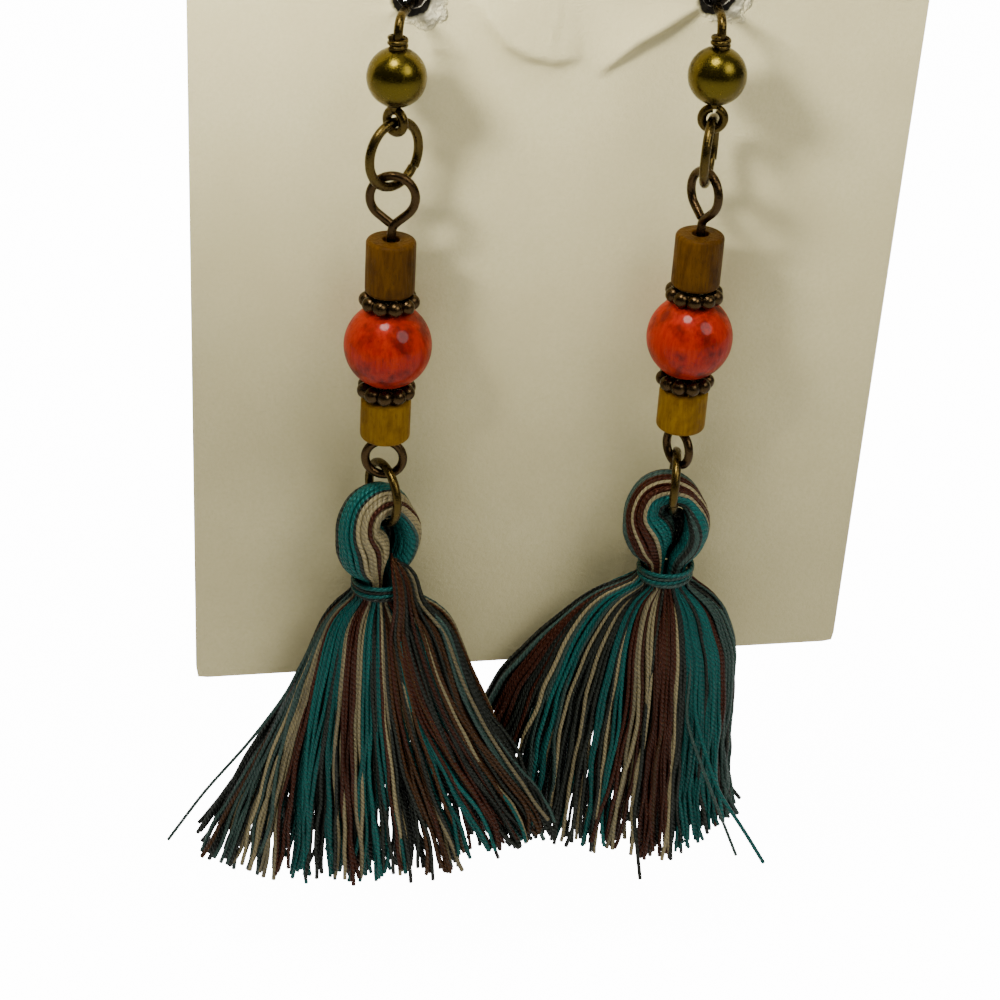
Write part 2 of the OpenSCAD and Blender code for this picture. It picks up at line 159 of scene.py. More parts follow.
class Shape:
    # Points, faces, face-corner coordinates and tones that add up to one mesh

    def __init__(self):
        self.verts, self.faces, self.uv, self.tone, self.caps, self.capUv = [], [], [], [], [], []
        self.count = 0

    def addVerts(self, verts, tone=0.5):
        verts = np.asarray(verts, float).reshape(-1, 3)
        first = self.count
        self.verts.append(verts)
        self.tone.append(np.broadcast_to(np.asarray(tone, float), (len(verts),)))
        self.count += len(verts)
        return first

    def addTubes(self, paths, facing, radii, sides, tone=None, startV=None):
        # paths: tubes x points x 3; facing: the way that each ring's first point looks
        paths = np.asarray(paths, float)
        if paths.ndim == 2:
            paths = paths[None]
        n, m, _ = paths.shape
        along = unit(np.gradient(paths, axis=1))
        facing = np.broadcast_to(np.asarray(facing, float), paths.shape)
        out = unit(facing - (facing * along).sum(2, keepdims=True) * along)
        over = np.cross(along, out)
        radii = np.broadcast_to(np.asarray(radii, float), (n, m))
        a = (2 * math.pi * np.arange(sides) / sides)[:, None]
        ring = out[:, :, None] * np.cos(a) + over[:, :, None] * np.sin(a)
        grid = paths[:, :, None] + ring * radii[:, :, None, None]
        tones = np.full(n, 0.5) if tone is None else np.asarray(tone, float)
        starts = np.zeros(n) if startV is None else np.asarray(startV, float)
        first = self.addVerts(grid, np.repeat(tones, m * sides))
        k, i, j = np.meshgrid(np.arange(n), np.arange(m - 1), np.arange(sides), indexing="ij")
        corners = ((i, j), (i, (j + 1) % sides), (i + 1, (j + 1) % sides), (i + 1, j))
        quads = np.stack([first + (k * m + row) * sides + column for row, column in corners], -1)
        self.faces += quads.reshape(-1, 4).tolist()
        steps = np.linalg.norm(np.diff(paths, axis=1), axis=2)
        run = np.concatenate([np.zeros((n, 1)), np.cumsum(steps, 1)], 1)
        u = np.stack([run[k, i], run[k, i], run[k, i + 1], run[k, i + 1]], -1)
        v = starts[k][..., None] + np.stack([j, j + 1, j + 1, j], -1) / sides
        self.uv.append(np.stack([u, v], -1).reshape(-1, 2))
        for row, order in ((0, -1), (m - 1, 1)):
            ends = self.addVerts(grid[:, row], np.repeat(tones, sides))
            for t in range(n):
                self.caps.append(list(range(ends + t * sides, ends + (t + 1) * sides))[::order])
                self.capUv.append(np.tile([run[t, row], starts[t]], (sides, 1)))

    def addRings(self, grid, u, closed=False, tone=0.5):
        # grid: rings x points x 3; u: a value for each ring, and one more where the last joins the first
        m, n, _ = grid.shape
        first = self.addVerts(grid, tone)
        i, j = np.meshgrid(np.arange(m if closed else m - 1), np.arange(n), indexing="ij")
        nextI, nextJ = (i + 1) % m, (j + 1) % n
        quads = first + np.stack([i * n + j, nextI * n + j, nextI * n + nextJ, i * n + nextJ], -1)
        self.faces += quads.reshape(-1, 4).tolist()
        corners = np.stack([u[i], u[i + 1], u[i + 1], u[i]], -1)
        self.uv.append(np.stack([corners, np.stack([j, j, j + 1, j + 1], -1) / n], -1).reshape(-1, 2))

    def addLathe(self, profile, centre, segments, closed=True):
        # profile: (radius, height) pairs
        a = 2 * math.pi * np.arange(segments) / segments
        radius = profile[:, :1]
        height = np.broadcast_to(profile[:, 1:], (len(profile), segments))
        grid = np.stack([radius * np.cos(a), radius * np.sin(a), height], -1) + np.asarray(centre)
        self.addRings(grid, np.concatenate([runAlong(profile), [0]]), closed)

    def make(self, name, body, nodes, material):
        newPiece(name, np.concatenate(self.verts), self.faces + self.caps, body, nodes, material,
                 np.concatenate(self.uv + self.capUv), np.concatenate(self.tone), len(self.caps))


# Node helpers
def feed(tree, node, inputs):
    # Links each input to a socket or gives it a value; a colour is red, green and blue
    for key, value in inputs.items():
        socket = node.inputs[key]
        if isinstance(value, bpy.types.NodeSocket):
            tree.links.new(value, socket)
        else:
            socket.default_value = (*value, 1.0) if socket.type == "RGBA" else value


def put(tree, kind, inputs=None, **settings):
    made = tree.nodes.new(kind)
    for key, value in settings.items():
        setattr(made, key, value)
    feed(tree, made, inputs or {})
    return made


def maths(tree, operation, a, b=0.0, clamp=False):
    return put(tree, "ShaderNodeMath", {0: a, 1: b}, operation=operation, use_clamp=clamp).outputs[0]


def addShare(tree, value, other, share):
    # The value and a share of the other, added up
    return maths(tree, "ADD", value, maths(tree, "MULTIPLY", other, share))


def vectorMaths(tree, operation, inputs):
    return put(tree, "ShaderNodeVectorMath", inputs, operation=operation).outputs


def blendColours(tree, share, a, b, kind="MIX"):
    return put(tree, "ShaderNodeMix", {0: share, 6: a, 7: b}, data_type="RGBA", blend_type=kind).outputs[2]


def stretch(tree, value, low, high, toLow=0.0, toHigh=1.0):
    return put(tree, "ShaderNodeMapRange", {0: value, 1: low, 2: high, 3: toLow, 4: toHigh}).outputs[0]


def noise(tree, where, scale, detail=3.0, rough=0.5):
    inputs = {"Vector": where, "Scale": scale, "Detail": detail, "Roughness": rough}
    return put(tree, "ShaderNodeTexNoise", inputs).outputs["Fac"]


def ownTone(tree):
    # A value that the mesh keeps for each of its points
    return put(tree, "ShaderNodeAttribute", attribute_name="tone").outputs["Fac"]


def inMillimetres(tree, stretchBy=(1, 1, 1)):
    spot = put(tree, "ShaderNodeTexCoord").outputs["Object"]
    return put(tree, "ShaderNodeMapping", {"Vector": spot, "Scale": [s / mm for s in stretchBy]}).outputs[0]


def newGroup(name, colours, numbers):
    # Inputs by name; every group gives out a colour, a height and a roughness
    tree = bpy.data.node_groups.new(name, "ShaderNodeTree")
    sockets = [("INPUT", "NodeSocketColor", colours), ("INPUT", "NodeSocketFloat", numbers),
               ("OUTPUT", "NodeSocketColor", ["Color"]),
               ("OUTPUT", "NodeSocketFloat", ["Height", "Roughness"])]
    for way, kind, labels in sockets:
        for label in labels:
            tree.interface.new_socket(label, in_out=way, socket_type=kind)
    return tree, tree.nodes.new("NodeGroupInput").outputs, tree.nodes.new("NodeGroupOutput")


def newMaterial(name):
    material = bpy.data.materials.new(name)
    material.use_nodes = True
    return material, material.node_tree, material.node_tree.nodes["Principled BSDF"]


def addBump(tree, shader, height, distance):
    bump = put(tree, "ShaderNodeBump", {"Height": height, "Distance": distance * mm})
    feed(tree, shader, {"Normal": bump.outputs["Normal"]})


def groupMaterial(name, group, values, bump, finish):
    # A material whose colour, roughness and relief come from one group
    material, tree, shader = newMaterial(name)
    made = put(tree, "ShaderNodeGroup", node_tree=group)
    feed(tree, made, values)
    feed(tree, shader, {"Base Color": made.outputs["Color"], "Roughness": made.outputs["Roughness"]})
    feed(tree, shader, finish)
    addBump(tree, shader, made.outputs["Height"], bump)
    return material


# Two-ply twisted thread: u of the UV map is millimetres along, v is turns round
def makeTwistGroup():
    tree, given, result = newGroup("threadTwist", ["Tint", "GrooveShade"], ["Pitch"])
    uv = put(tree, "ShaderNodeUVMap").outputs[0]
    parts = put(tree, "ShaderNodeSeparateXYZ", {0: uv}).outputs
    turns = maths(tree, "ADD", maths(tree, "DIVIDE", parts[0], given["Pitch"]), parts[1])
    wave = maths(tree, "ABSOLUTE", maths(tree, "SINE", maths(tree, "MULTIPLY", turns, 2 * math.pi)))
    ply = maths(tree, "POWER", wave, 0.5)
    fibre = noise(tree, put(tree, "ShaderNodeMapping", {"Vector": uv, "Scale": (3, 30, 1)}).outputs[0], 1.0)
    # Painted shade: the groove between the plies takes its darker colour
    tinted = blendColours(tree, stretch(tree, ply, 0.05, 0.62), given["GrooveShade"], given["Tint"])
    uneven = stretch(tree, fibre, 0.3, 0.7, -0.15, 0.15)
    light = maths(tree, "ADD", stretch(tree, ownTone(tree), 0, 1, 0.55, 1.35), uneven)
    shade = put(tree, "ShaderNodeCombineColor", {0: light, 1: light, 2: light}).outputs[0]
    feed(tree, result, {"Color": blendColours(tree, 1.0, tinted, shade, "MULTIPLY"),
                        "Height": addShare(tree, ply, fibre, 0.35),
                        "Roughness": stretch(tree, fibre, 0.3, 0.7, 0.27, 0.45)})
    return tree


# Aged metal: bright rubbed places and a dark patina that gathers in patches
def makeMetalGroup():
    tree, given, result = newGroup("agedMetal", ["Bright", "Dark"], ["Patina", "Scale"])
    where = vectorMaths(tree, "SCALE", {0: inMillimetres(tree), "Scale": given["Scale"]})[0]
    patches = noise(tree, where, 1.1, 4.0, 0.6)
    specks = noise(tree, where, 6.0, 3.0, 0.6)
    mixed = addShare(tree, maths(tree, "MULTIPLY", patches, 0.65), specks, 0.35)
    # More patina lowers the level above which the pattern is dark
    level = maths(tree, "SUBTRACT", 1.0, maths(tree, "MULTIPLY", given["Patina"], 0.5))
    share = maths(tree, "MULTIPLY", maths(tree, "SUBTRACT", mixed, level), 4.0, True)
    feed(tree, result, {"Color": blendColours(tree, share, given["Bright"], given["Dark"]),
                        "Height": addShare(tree, specks, patches, 0.5),
                        "Roughness": stretch(tree, mixed, 0.3, 0.7, 0.15, 0.36)})
    return tree


# Painted or stained wood with fine upright grain
def makeWoodGroup():
    tree, given, result = newGroup("woodGrain", ["Light", "Deep", "Stain"], ["Stained"])
    grain = noise(tree, inMillimetres(tree, (4.5, 4.5, 0.55)), 1.0, 5.0, 0.6)
    pores = noise(tree, inMillimetres(tree, (16, 16, 1.6)), 1.0, 3.0, 0.6)
    blotch = noise(tree, inMillimetres(tree, (0.75, 0.75, 0.65)), 1.0, 3.0, 0.55)
    base = blendColours(tree, stretch(tree, grain, 0.36, 0.66), given["Light"], given["Deep"])
    mask = maths(tree, "MULTIPLY", stretch(tree, blotch, 0.48, 0.66), given["Stained"])
    base = blendColours(tree, mask, base, given["Stain"])
    base = blendColours(tree, stretch(tree, pores, 0.60, 0.74, 0.0, 0.45), base, given["Stain"])
    dip = maths(tree, "SUBTRACT", maths(tree, "MULTIPLY", grain, 0.6), stretch(tree, pores, 0.58, 0.74))
    feed(tree, result, {"Color": base, "Height": dip,
                        "Roughness": stretch(tree, grain, 0.3, 0.7, 0.38, 0.56)})
    return tree


twistGroup = makeTwistGroup()
metalGroup = makeMetalGroup()
woodGroup = makeWoodGroup()

# Threads: length of a turn, depth of the plies and gloss, then for each its face, the painted shade
# in the groove between its plies and the tint of its sheen
twist = {"pitch": 0.85, "relief": 0.085, "gloss": 0.5}
threadLooks = {
    "teal": [(0.0006, 0.055, 0.048), (0.0002, 0.016, 0.014), (0.30, 1.0, 0.94)],
    "slate": [(0.019, 0.043, 0.034), (0.006, 0.013, 0.010), (0.75, 1.0, 0.92)],
    "tan": [(0.205, 0.168, 0.082), (0.07, 0.052, 0.024), (1.0, 0.96, 0.85)],
    "maroon": [(0.017, 0.0024, 0.0003), (0.005, 0.0008, 0.0002), (1.0, 0.45, 0.3)],
    "umber": [(0.024, 0.0070, 0.0004), (0.007, 0.0022, 0.0004), (1.0, 0.6, 0.35)],
    # Near black: dark strands, and painted shade in the gaps and depths of the tassels
    "inkAndShade": [(0.0028, 0.0026, 0.0012), (0.001, 0.0012, 0.0007), (0.6, 0.7, 0.6)],
}
# Each metal: bright and dark colour, how much patina, how fine its patches are, depth of its wear
metalLooks = {
    "oliveBrass": [(0.108, 0.080, 0.010), (0.020, 0.014, 0.002), 0.55, 1.2, 0.012],
    "agedBrassWire": [(0.080, 0.054, 0.014), (0.014, 0.009, 0.003), 0.5, 1.4, 0.02],
    "darkBronze": [(0.060, 0.036, 0.015), (0.008, 0.005, 0.003), 0.55, 1.4, 0.02],
}
# Each wood: light and deep grain, stain, how much is stained, coat of varnish, depth of its grain
varnish = {"sheen": 0.08, "rough": 0.09}
woodLooks = {
    "brownWood": [(0.084, 0.034, 0.0003), (0.050, 0.018, 0.0002), (0.018, 0.005, 0.0001), 0.5, 0.0, 0.05],
    "redWood": [(0.36, 0.0150, 0.0001), (0.25, 0.0050, 0.0001), (0.08, 0.0005, 0.0001), 0.85, 0.24, 0.03],
    "yellowWood": [(0.225, 0.117, 0.0004), (0.165, 0.078, 0.0003), (0.08, 0.030, 0.0001), 0.5, 0.0, 0.04],
}


def makeThread(name, face, grooveShade, sheen):
    return groupMaterial(name + "Thread", twistGroup,
                         {"Tint": face, "GrooveShade": grooveShade, "Pitch": twist["pitch"]}, twist["relief"],
                         {"Specular IOR Level": twist["gloss"], "Specular Tint": sheen})


def makeMetal(name, bright, dark, patina, scale, wear):
    return groupMaterial(name, metalGroup,
                         {"Bright": bright, "Dark": dark, "Patina": patina, "Scale": scale}, wear,
                         {"Metallic": 1.0})


def makeWood(name, light, deep, stain, stained, coat, relief):
    return groupMaterial(name, woodGroup,
                         {"Light": light, "Deep": deep, "Stain": stain, "Stained": stained}, relief,
                         {"Specular IOR Level": varnish["sheen"], "Coat Weight": coat,
                          "Coat Roughness": varnish["rough"]})


threads = {name: makeThread(name, *look) for name, look in threadLooks.items()}
metals = {name: makeMetal(name, *look) for name, look in metalLooks.items()}
woods = {name: makeWood(name, *look) for name, look in woodLooks.items()}
print("materials made")

# Card: a sheet with nearly square corners, two round holes and folds
card = {"width": 50.8, "height": 63.5, "thick": 0.5, "corner": 0.4, "hole": 1.15, "holeZ": 21.55,
        "patch": 2.0, "fine": 0.25, "coarse": 0.85, "foldFoot": 13.5, "rings": 7, "crowding": 1.4}
# A slow bow over the whole sheet, then the pucker and the ripples round each hole
bow = {"depth": 0.12, "longX": 17.0, "longZ": 23.0, "shift": 0.4}
pucker = {"depth": 0.18, "fiveWaves": 0.10, "elevenWaves": 0.06, "fade": 0.55}
ripple = {"depth": 0.05, "waves": 9, "twist": 2, "at": 1.9, "fade": 0.5}
# Each fold follows a line of (x, z): above it the sheet stands forward and drops at a lip
folds = [
    {"line": [(-7.2, 21.9), (-5.7, 19.6), (-4.2, 17.8), (-2.8, 17.0), (-0.8, 16.5), (1.2, 16.8)],
     "high": 0.85, "lip": 0.13, "fade": 2.6},
    {"line": [(2.4, 15.6), (4.9, 17.8), (6.8, 18.9), (8.5, 20.0), (9.5, 20.8)],
     "high": 0.80, "lip": 0.11, "fade": 2.2},
    {"line": [(-10.2, 18.8), (-9.2, 17.5), (-8.3, 17.4), (-6.6, 16.7)],
     "high": 0.20, "lip": 0.08, "fade": 0.5},
]


def cardLines(stops):
    # Stops are (place, size of the cells that lead up to it)
    lines = [stops[0][0]]
    for (a, _), (b, cell) in zip(stops, stops[1:]):
        count = max(1, int(round((b - a) / cell)))
        lines += list(np.linspace(a, b, count + 1)[1:])
    return np.array(lines)


def foldLift(x, z, fold):
    # Height of a fold at each point: it drops at its lip, and fades above it and towards its ends
    line = np.array(fold["line"])
    lengths = np.hypot(*np.diff(line, axis=0).T)
    starts = np.concatenate([[0], np.cumsum(lengths)])
    nearest, above, along = np.full(x.shape, np.inf), np.ones(x.shape), np.zeros(x.shape)
    for (ax, az), (bx, bz), start, length in zip(line, line[1:], starts, lengths):
        t = np.clip(((x - ax) * (bx - ax) + (z - az) * (bz - az)) / length ** 2, 0, 1)
        away = np.hypot(x - ax - t * (bx - ax), z - az - t * (bz - az))
        closer = away < nearest
        sign = np.sign((bx - ax) * (z - az) - (bz - az) * (x - ax))
        nearest = np.where(closer, away, nearest)
        above = np.where(closer, sign, above)
        along = np.where(closer, (start + t * length) / starts[-1], along)
    signed = np.clip(nearest * above, -4, 40)  # millimetres; past these nothing changes
    drop = 1 / (1 + np.exp(-signed / fold["lip"]))
    taper = np.sin(math.pi * np.clip(along, 0, 1)) ** 0.7
    return fold["high"] * drop * np.exp(-np.clip(signed, 0, None) / fold["fade"]) * taper


def cardLift(x, z):
    # How far back the sheet's back face lies at each point
    lift = bow["depth"] * np.sin(x / bow["longX"] + bow["shift"]) * np.cos(z / bow["longZ"])
    for fold in folds:
        lift = lift - foldLift(x, z, fold)
    for facts in earrings.values():
        dx, dz = x - facts["holeX"], z - card["holeZ"]
        far, turn = np.hypot(dx, dz), np.arctan2(dz, dx)
        push = pucker["depth"] + pucker["fiveWaves"] * np.sin(5 * turn + facts["holeX"])
        push = push + pucker["elevenWaves"] * np.sin(11 * turn)
        lift = lift - push * np.exp(-((far - card["hole"]) / pucker["fade"]) ** 2)
        wave = ripple["depth"] * np.sin(ripple["waves"] * turn + ripple["twist"] * far)
        lift = lift - wave * np.exp(-((far - ripple["at"]) / ripple["fade"]) ** 2)
    return lift


def cardNet():
    # The flat card: points, cells, and the lines of points along its outer edges and its holes
    w, h, p = card["width"] / 2, card["height"] / 2, card["patch"]
    fine, coarse, level = card["fine"], card["coarse"], card["holeZ"]
    middles = [facts["holeX"] for facts in earrings.values()]
    xs = cardLines([(-w, 0), (middles[0] - p, coarse), (middles[0] + p, fine), (middles[1] - p, fine),
                    (middles[1] + p, fine), (w, coarse)])
    zs = cardLines([(-h, 0), (card["foldFoot"], coarse), (level - p, fine), (level + p, fine), (h, coarse)])
    places = {}

    def spot(x, z):
        # The number of the point at a place, new or already there
        return places.setdefault((round(x, 4), round(z, 4)), len(places))

    cells = []
    for x0, x1 in zip(xs, xs[1:]):
        for z0, z1 in zip(zs, zs[1:]):
            byLevel = abs((z0 + z1) / 2 - level) < p
            if not any(byLevel and abs((x0 + x1) / 2 - middle) < p for middle in middles):
                cells.append([spot(x0, z0), spot(x1, z0), spot(x1, z1), spot(x0, z1)])
    # Each hole sits in a square patch: rings of points go from the round rim out to the square
    s = np.linspace(-p, p, int(round(2 * p / fine)) + 1)[:-1]
    square = [(v, -p) for v in s] + [(p, v) for v in s] + [(-v, p) for v in s] + [(-p, -v) for v in s]
    rims = []
    for middle in middles:
        rings = []
        for share in (np.arange(card["rings"] + 1) / card["rings"]) ** card["crowding"]:
            ring = []
            for x, z in square:
                a = math.atan2(z, x)
                inX = (1 - share) * card["hole"] * math.cos(a) + share * x
                inZ = (1 - share) * card["hole"] * math.sin(a) + share * z
                ring.append(spot(middle + inX, level + inZ))
            rings.append(ring)
        for inner, outer in zip(rings, rings[1:]):
            cells += [list(cell) for cell in zip(inner, outer, outer[1:] + outer[:1], inner[1:] + inner[:1])]
        rims.append(rings[0] + rings[0][:1])
    sides = [[spot(-w, z) for z in zs], [spot(w, z) for z in zs[::-1]],
             [spot(x, -h) for x in xs[::-1]], [spot(x, h) for x in xs]]
    return np.array(list(places)), cells, sides + rims


def roundCorners(points):
    # The outermost points are drawn in onto the arcs of the corners
    size = np.array([card["width"], card["height"]]) / 2 - card["corner"]
    past = np.abs(points) - size
    pull = past.max(axis=1) / np.maximum(np.hypot(*past.T), 1e-9)
    drawn = np.sign(points) * (size + past * pull[:, None])
    return np.where((past > 0).all(axis=1)[:, None], drawn, points)


def makeCard():
    points, cells, edges = cardNet()
    x, z = roundCorners(points).T
    lift = cardLift(x, z)
    count = len(points)
    verts = np.concatenate([np.column_stack([x, lift - card["thick"], z]), np.column_stack([x, lift, z])])
    faces = cells + [[count + v for v in reversed(cell)] for cell in cells]
    walls = [[a, b, b + count, a + count] for line in edges for a, b in zip(line, line[1:])]
    # Walls get their own points so that the card's edge stays crisp
    used = sorted({v for wall in walls for v in wall})
    again = {v: 2 * count + k for k, v in enumerate(used)}
    faces += [[again[v] for v in wall] for wall in walls]
    verts = np.concatenate([verts, verts[used]])
    newPiece("display_card", verts, faces, "held", ["card"], makeCardMaterial())


# Colours of the card. Torn, shiny film lies round each hole, and painted shade darkens each hole's
# rim, most below it: how far each is moved from the hole, how ragged its edge is, and from where to where it
# fades, in millimetres
cardLook = {
    "paper": [(0.60, 0.535, 0.285), (0.66, 0.59, 0.335)],
    "cloud": (0.56, 0.49, 0.26), "fleck": (0.42, 0.37, 0.24),
    "film": {"colour": (0.60, 0.55, 0.36), "shift": (0.9, -0.8), "ragged": 2.4, "fade": (2.9, 2.2)},
    # Painted shade round each hole's rim, near black, standing in for the shadow inside the hole
    "rim": {"colour": (0.006, 0.005, 0.003), "shift": (0.0, -0.3), "ragged": 0.6, "fade": (1.85, 1.6)},
    "filmRough": 0.12, "sheen": 0.15, "crinkle": 0.45, "grain": 0.05,
}


def awayFromHoles(tree, shift):
    # Distance in millimetres to the nearer of the holes' centres, both moved by shift
    flat = vectorMaths(tree, "MULTIPLY", {0: inMillimetres(tree), 1: (1, 0, 1)})[0]
    both = []
    for facts in earrings.values():
        middle = (facts["holeX"] + shift[0], 0, card["holeZ"] + shift[1])
        both.append(vectorMaths(tree, "DISTANCE", {0: flat, 1: middle})["Value"])
    return maths(tree, "MINIMUM", *both)


def makeCardMaterial():
    material, tree, shader = newMaterial("creamCard")
    where = inMillimetres(tree)
    fibre = noise(tree, where, 3.2, 6.0, 0.65)
    cloud = noise(tree, where, 0.12)
    flecks = noise(tree, inMillimetres(tree, (1.2, 1.2, 4.5)), 1.0, 4.0, 0.6)
    base = blendColours(tree, stretch(tree, fibre, 0.3, 0.7), *cardLook["paper"])
    base = blendColours(tree, stretch(tree, cloud, 0.35, 0.65, 0, 0.5), base, cardLook["cloud"])
    base = blendColours(tree, stretch(tree, flecks, 0.62, 0.8, 0, 0.25), base, cardLook["fleck"])
    ragged = noise(tree, where, 1.3, 4.0, 0.6)
    masks = []
    for zone in (cardLook["film"], cardLook["rim"]):
        edge = addShare(tree, awayFromHoles(tree, zone["shift"]), ragged, zone["ragged"])
        masks.append(stretch(tree, edge, *zone["fade"]))
        base = blendColours(tree, masks[-1], base, zone["colour"])
    # The second mask is the painted shade round the holes' rims; the film's coat is kept off it
    film, rim = masks
    feed(tree, shader, {"Base Color": base, "Roughness": stretch(tree, fibre, 0.3, 0.7, 0.55, 0.75),
                        "Coat Weight": maths(tree, "MULTIPLY", film, maths(tree, "SUBTRACT", 1.0, rim)),
                        "Coat Roughness": cardLook["filmRough"], "Specular IOR Level": cardLook["sheen"]})
    grain = maths(tree, "MULTIPLY", addShare(tree, fibre, flecks, 0.4), cardLook["grain"])
    crinkle = maths(tree, "MULTIPLY", noise(tree, where, 1.5, 1.5), film)
    addBump(tree, shader, addShare(tree, grain, crinkle, cardLook["crinkle"]), 1.0)
    return material


makeCard()

# Torn paper pushed back through each hole, painted near black inside as shade, its paper colour showing only
# near the rim
frill = {"mouth": 1.13, "throat": 0.40, "depth": 1.0, "sink": 0.6, "rings": 10, "around": 72, "ragged": 0.098,
         "fiveLobes": 0.12, "crinkle": 0.05, "curl": 1.4, "stand": 0.03,
         "shadow": (0.008, 0.006, 0.004), "paper": (0.5, 0.46, 0.36), "sheen": 0.15, "relief": 0.08}


def makeTornPaper():
    material, tree, shader = newMaterial("tornPaper")
    shreds = noise(tree, inMillimetres(tree), 4.0, 5.0, 0.65)
    # Painted shade: the tone, one at the rim and nought at the throat, turns the colour from paper to near
    # black
    lit = stretch(tree, addShare(tree, ownTone(tree), shreds, 0.5), 1.12, 1.35)
    feed(tree, shader, {"Base Color": blendColours(tree, lit, frill["shadow"], frill["paper"]),
                        "Roughness": stretch(tree, shreds, 0.3, 0.7, 0.7, 0.95),
                        "Specular IOR Level": frill["sheen"]})
    addBump(tree, shader, shreds, frill["relief"])
    return material


def makeFrills():
    n, m = frill["around"], frill["rings"]
    a = 2 * math.pi * np.arange(n) / n
    t = np.linspace(0, 1, m)[:, None]
    inward = t ** frill["curl"]
    shape = Shape()
    for facts in earrings.values():
        ragged = dice.uniform(-frill["ragged"], frill["ragged"], n)
        ragged = ragged + frill["fiveLobes"] * np.sin(5 * a + facts["holeX"])
        rimX, rimZ = facts["holeX"] + frill["mouth"] * np.cos(a), card["holeZ"] + frill["mouth"] * np.sin(a)
        rimY = cardLift(rimX, rimZ) - card["thick"] + frill["stand"]
        throatX = facts["holeX"] + (frill["throat"] + ragged) * np.cos(a)
        throatZ = card["holeZ"] - frill["sink"] + (frill["throat"] + ragged) * np.sin(a)
        crinkle = frill["crinkle"] * dice.standard_normal((m, n)) * np.sin(math.pi * t)
        x = rimX + (throatX - rimX) * inward + crinkle
        z = rimZ + (throatZ - rimZ) * inward + crinkle
        y = rimY + (frill["depth"] + ragged) * np.sin(0.5 * math.pi * t)
        # The tone carries the painted shade: one at the rim, nought at the throat
        shape.addRings(np.stack([x, y, z], -1), np.arange(m) / m, tone=np.repeat(1 - t[:, 0], n))
    shape.make("torn_paper", "held", [], makeTornPaper())


makeFrills()
print("card made")


# Wire pieces and turned pieces
def makeWire(name, body, node, metal, tubes, sides=20):
    # tubes: each is (path, facing, radius)
    shape = Shape()
    for path, facing, radius in tubes:
        shape.addTubes(path, facing, radius, sides)
    shape.make(name, body, [node], metals[metal])


def hung(path, side, z, yaw, wire):
    # A bend that was drawn facing forward, as a tube on an earring's line
    return onLine(path, side, z, yaw), turned((0, 1, 0), yaw), wire / 2


def makeTurning(name, body, node, material, profile, middle, segments):
    # profile: from the bore over the top and down the outside
    shape = Shape()
    shape.addLathe(profile[::-1], middle, segments)
    shape.make(name, body, [node], material)


def meridian(radius, start, count):
    # Outline of a ball down one side, from one angle off its top to the same off its foot
    a = np.linspace(start, math.pi - start, count)
    return np.column_stack([radius * np.sin(a), radius * np.cos(a)])


# Ear hooks: levels in millimetres above the card's centre
hook = {"wire": 0.63, "reach": 4.05, "wireZ": 20.74, "frontBend": 1.1, "backRun": 0.9, "backBend": 4.6,
        "tail": 9.0, "flareBend": 6.0, "flare": 25.0, "loop": 0.75, "loopZ": 13.8862,
        "loopTurn": (96, 432), "plane": -0.25, "tip": (0.97, 0.86, 0.6), "step": 0.14}


def makeHook(side):
    facts = earrings[side]
    reach, top = hook["reach"], hook["wireZ"] - hook["frontBend"]
    backZ = hook["wireZ"] - hook["backBend"]
    tailX, tailZ = -hook["backRun"] - hook["backBend"], backZ - hook["tail"]
    line = np.concatenate([
        [[reach, 0, hook["loopZ"] + hook["loop"]]],
        arc((reach - hook["frontBend"], top), hook["frontBend"], 0, 90, 24),
        arc((-hook["backRun"], backZ), hook["backBend"], 90, 180, 40),
        arc((tailX - hook["flareBend"], tailZ), hook["flareBend"], 0, -hook["flare"], 14)])
    yaw = facts["hook"] - 90
    even = smoothed(resample(line, hook["step"]), 2)
    path = turned(even, yaw) + np.array([facts["holeX"], hook["plane"], 0])
    radii = np.full(len(path), hook["wire"] / 2)
    radii[-3:] *= hook["tip"]
    loop = arc((0, 0), hook["loop"], *hook["loopTurn"], 56)
    tubes = [(path, turned((0, 1, 0), yaw), radii),
             hung(loop, side, hook["loopZ"], facts["loop"], hook["wire"])]
    makeWire(side + "_hook_wire", "held", side + "_ear_hook", "agedBrassWire", tubes)


coil = {"wire": 0.36, "radius": 0.52, "z": 19.0716, "pitch": 0.338, "turns": 2.0, "sides": 14,
        "start": {"left": 200, "right": 250}}


def makeCoil(side):
    turns = np.linspace(0, coil["turns"], 100)
    a = np.radians(coil["start"][side]) + 2 * math.pi * turns
    z = (turns - 0.5 * coil["turns"] + 0.5) * coil["pitch"]
    path = onLine(winding(coil["radius"], a, z), side, coil["z"])
    makeWire(side + "_coil_wire", "held", side + "_hook_coil", "agedBrassWire",
             [(path, (0, 0, 1), coil["wire"] / 2)], coil["sides"])


ball = {"radius": 2.0, "bore": 0.365, "z": 16.9031, "lip": 0.07, "slack": 0.01}


def makeBall(side):
    outer = meridian(ball["radius"], math.asin(ball["bore"] / ball["radius"]), 60)
    bore, lip = ball["bore"] - ball["slack"], outer[0, 1] - ball["lip"]
    profile = np.concatenate([outer, [[bore, -lip], [bore, lip]]])
    middle = (*earrings[side]["line"], ball["z"])
    makeTurning(side + "_brass_ball", "held", side + "_hook_ball", metals["oliveBrass"],
                profile, middle, 96)


ring = {"wire": 0.65, "radius": 2.25, "upperZ": 11.5762, "lowerZ": -14.2088, "gap": 0.8, "slip": 0.05,
        "upperSplit": -35, "lowerSplit": 200}


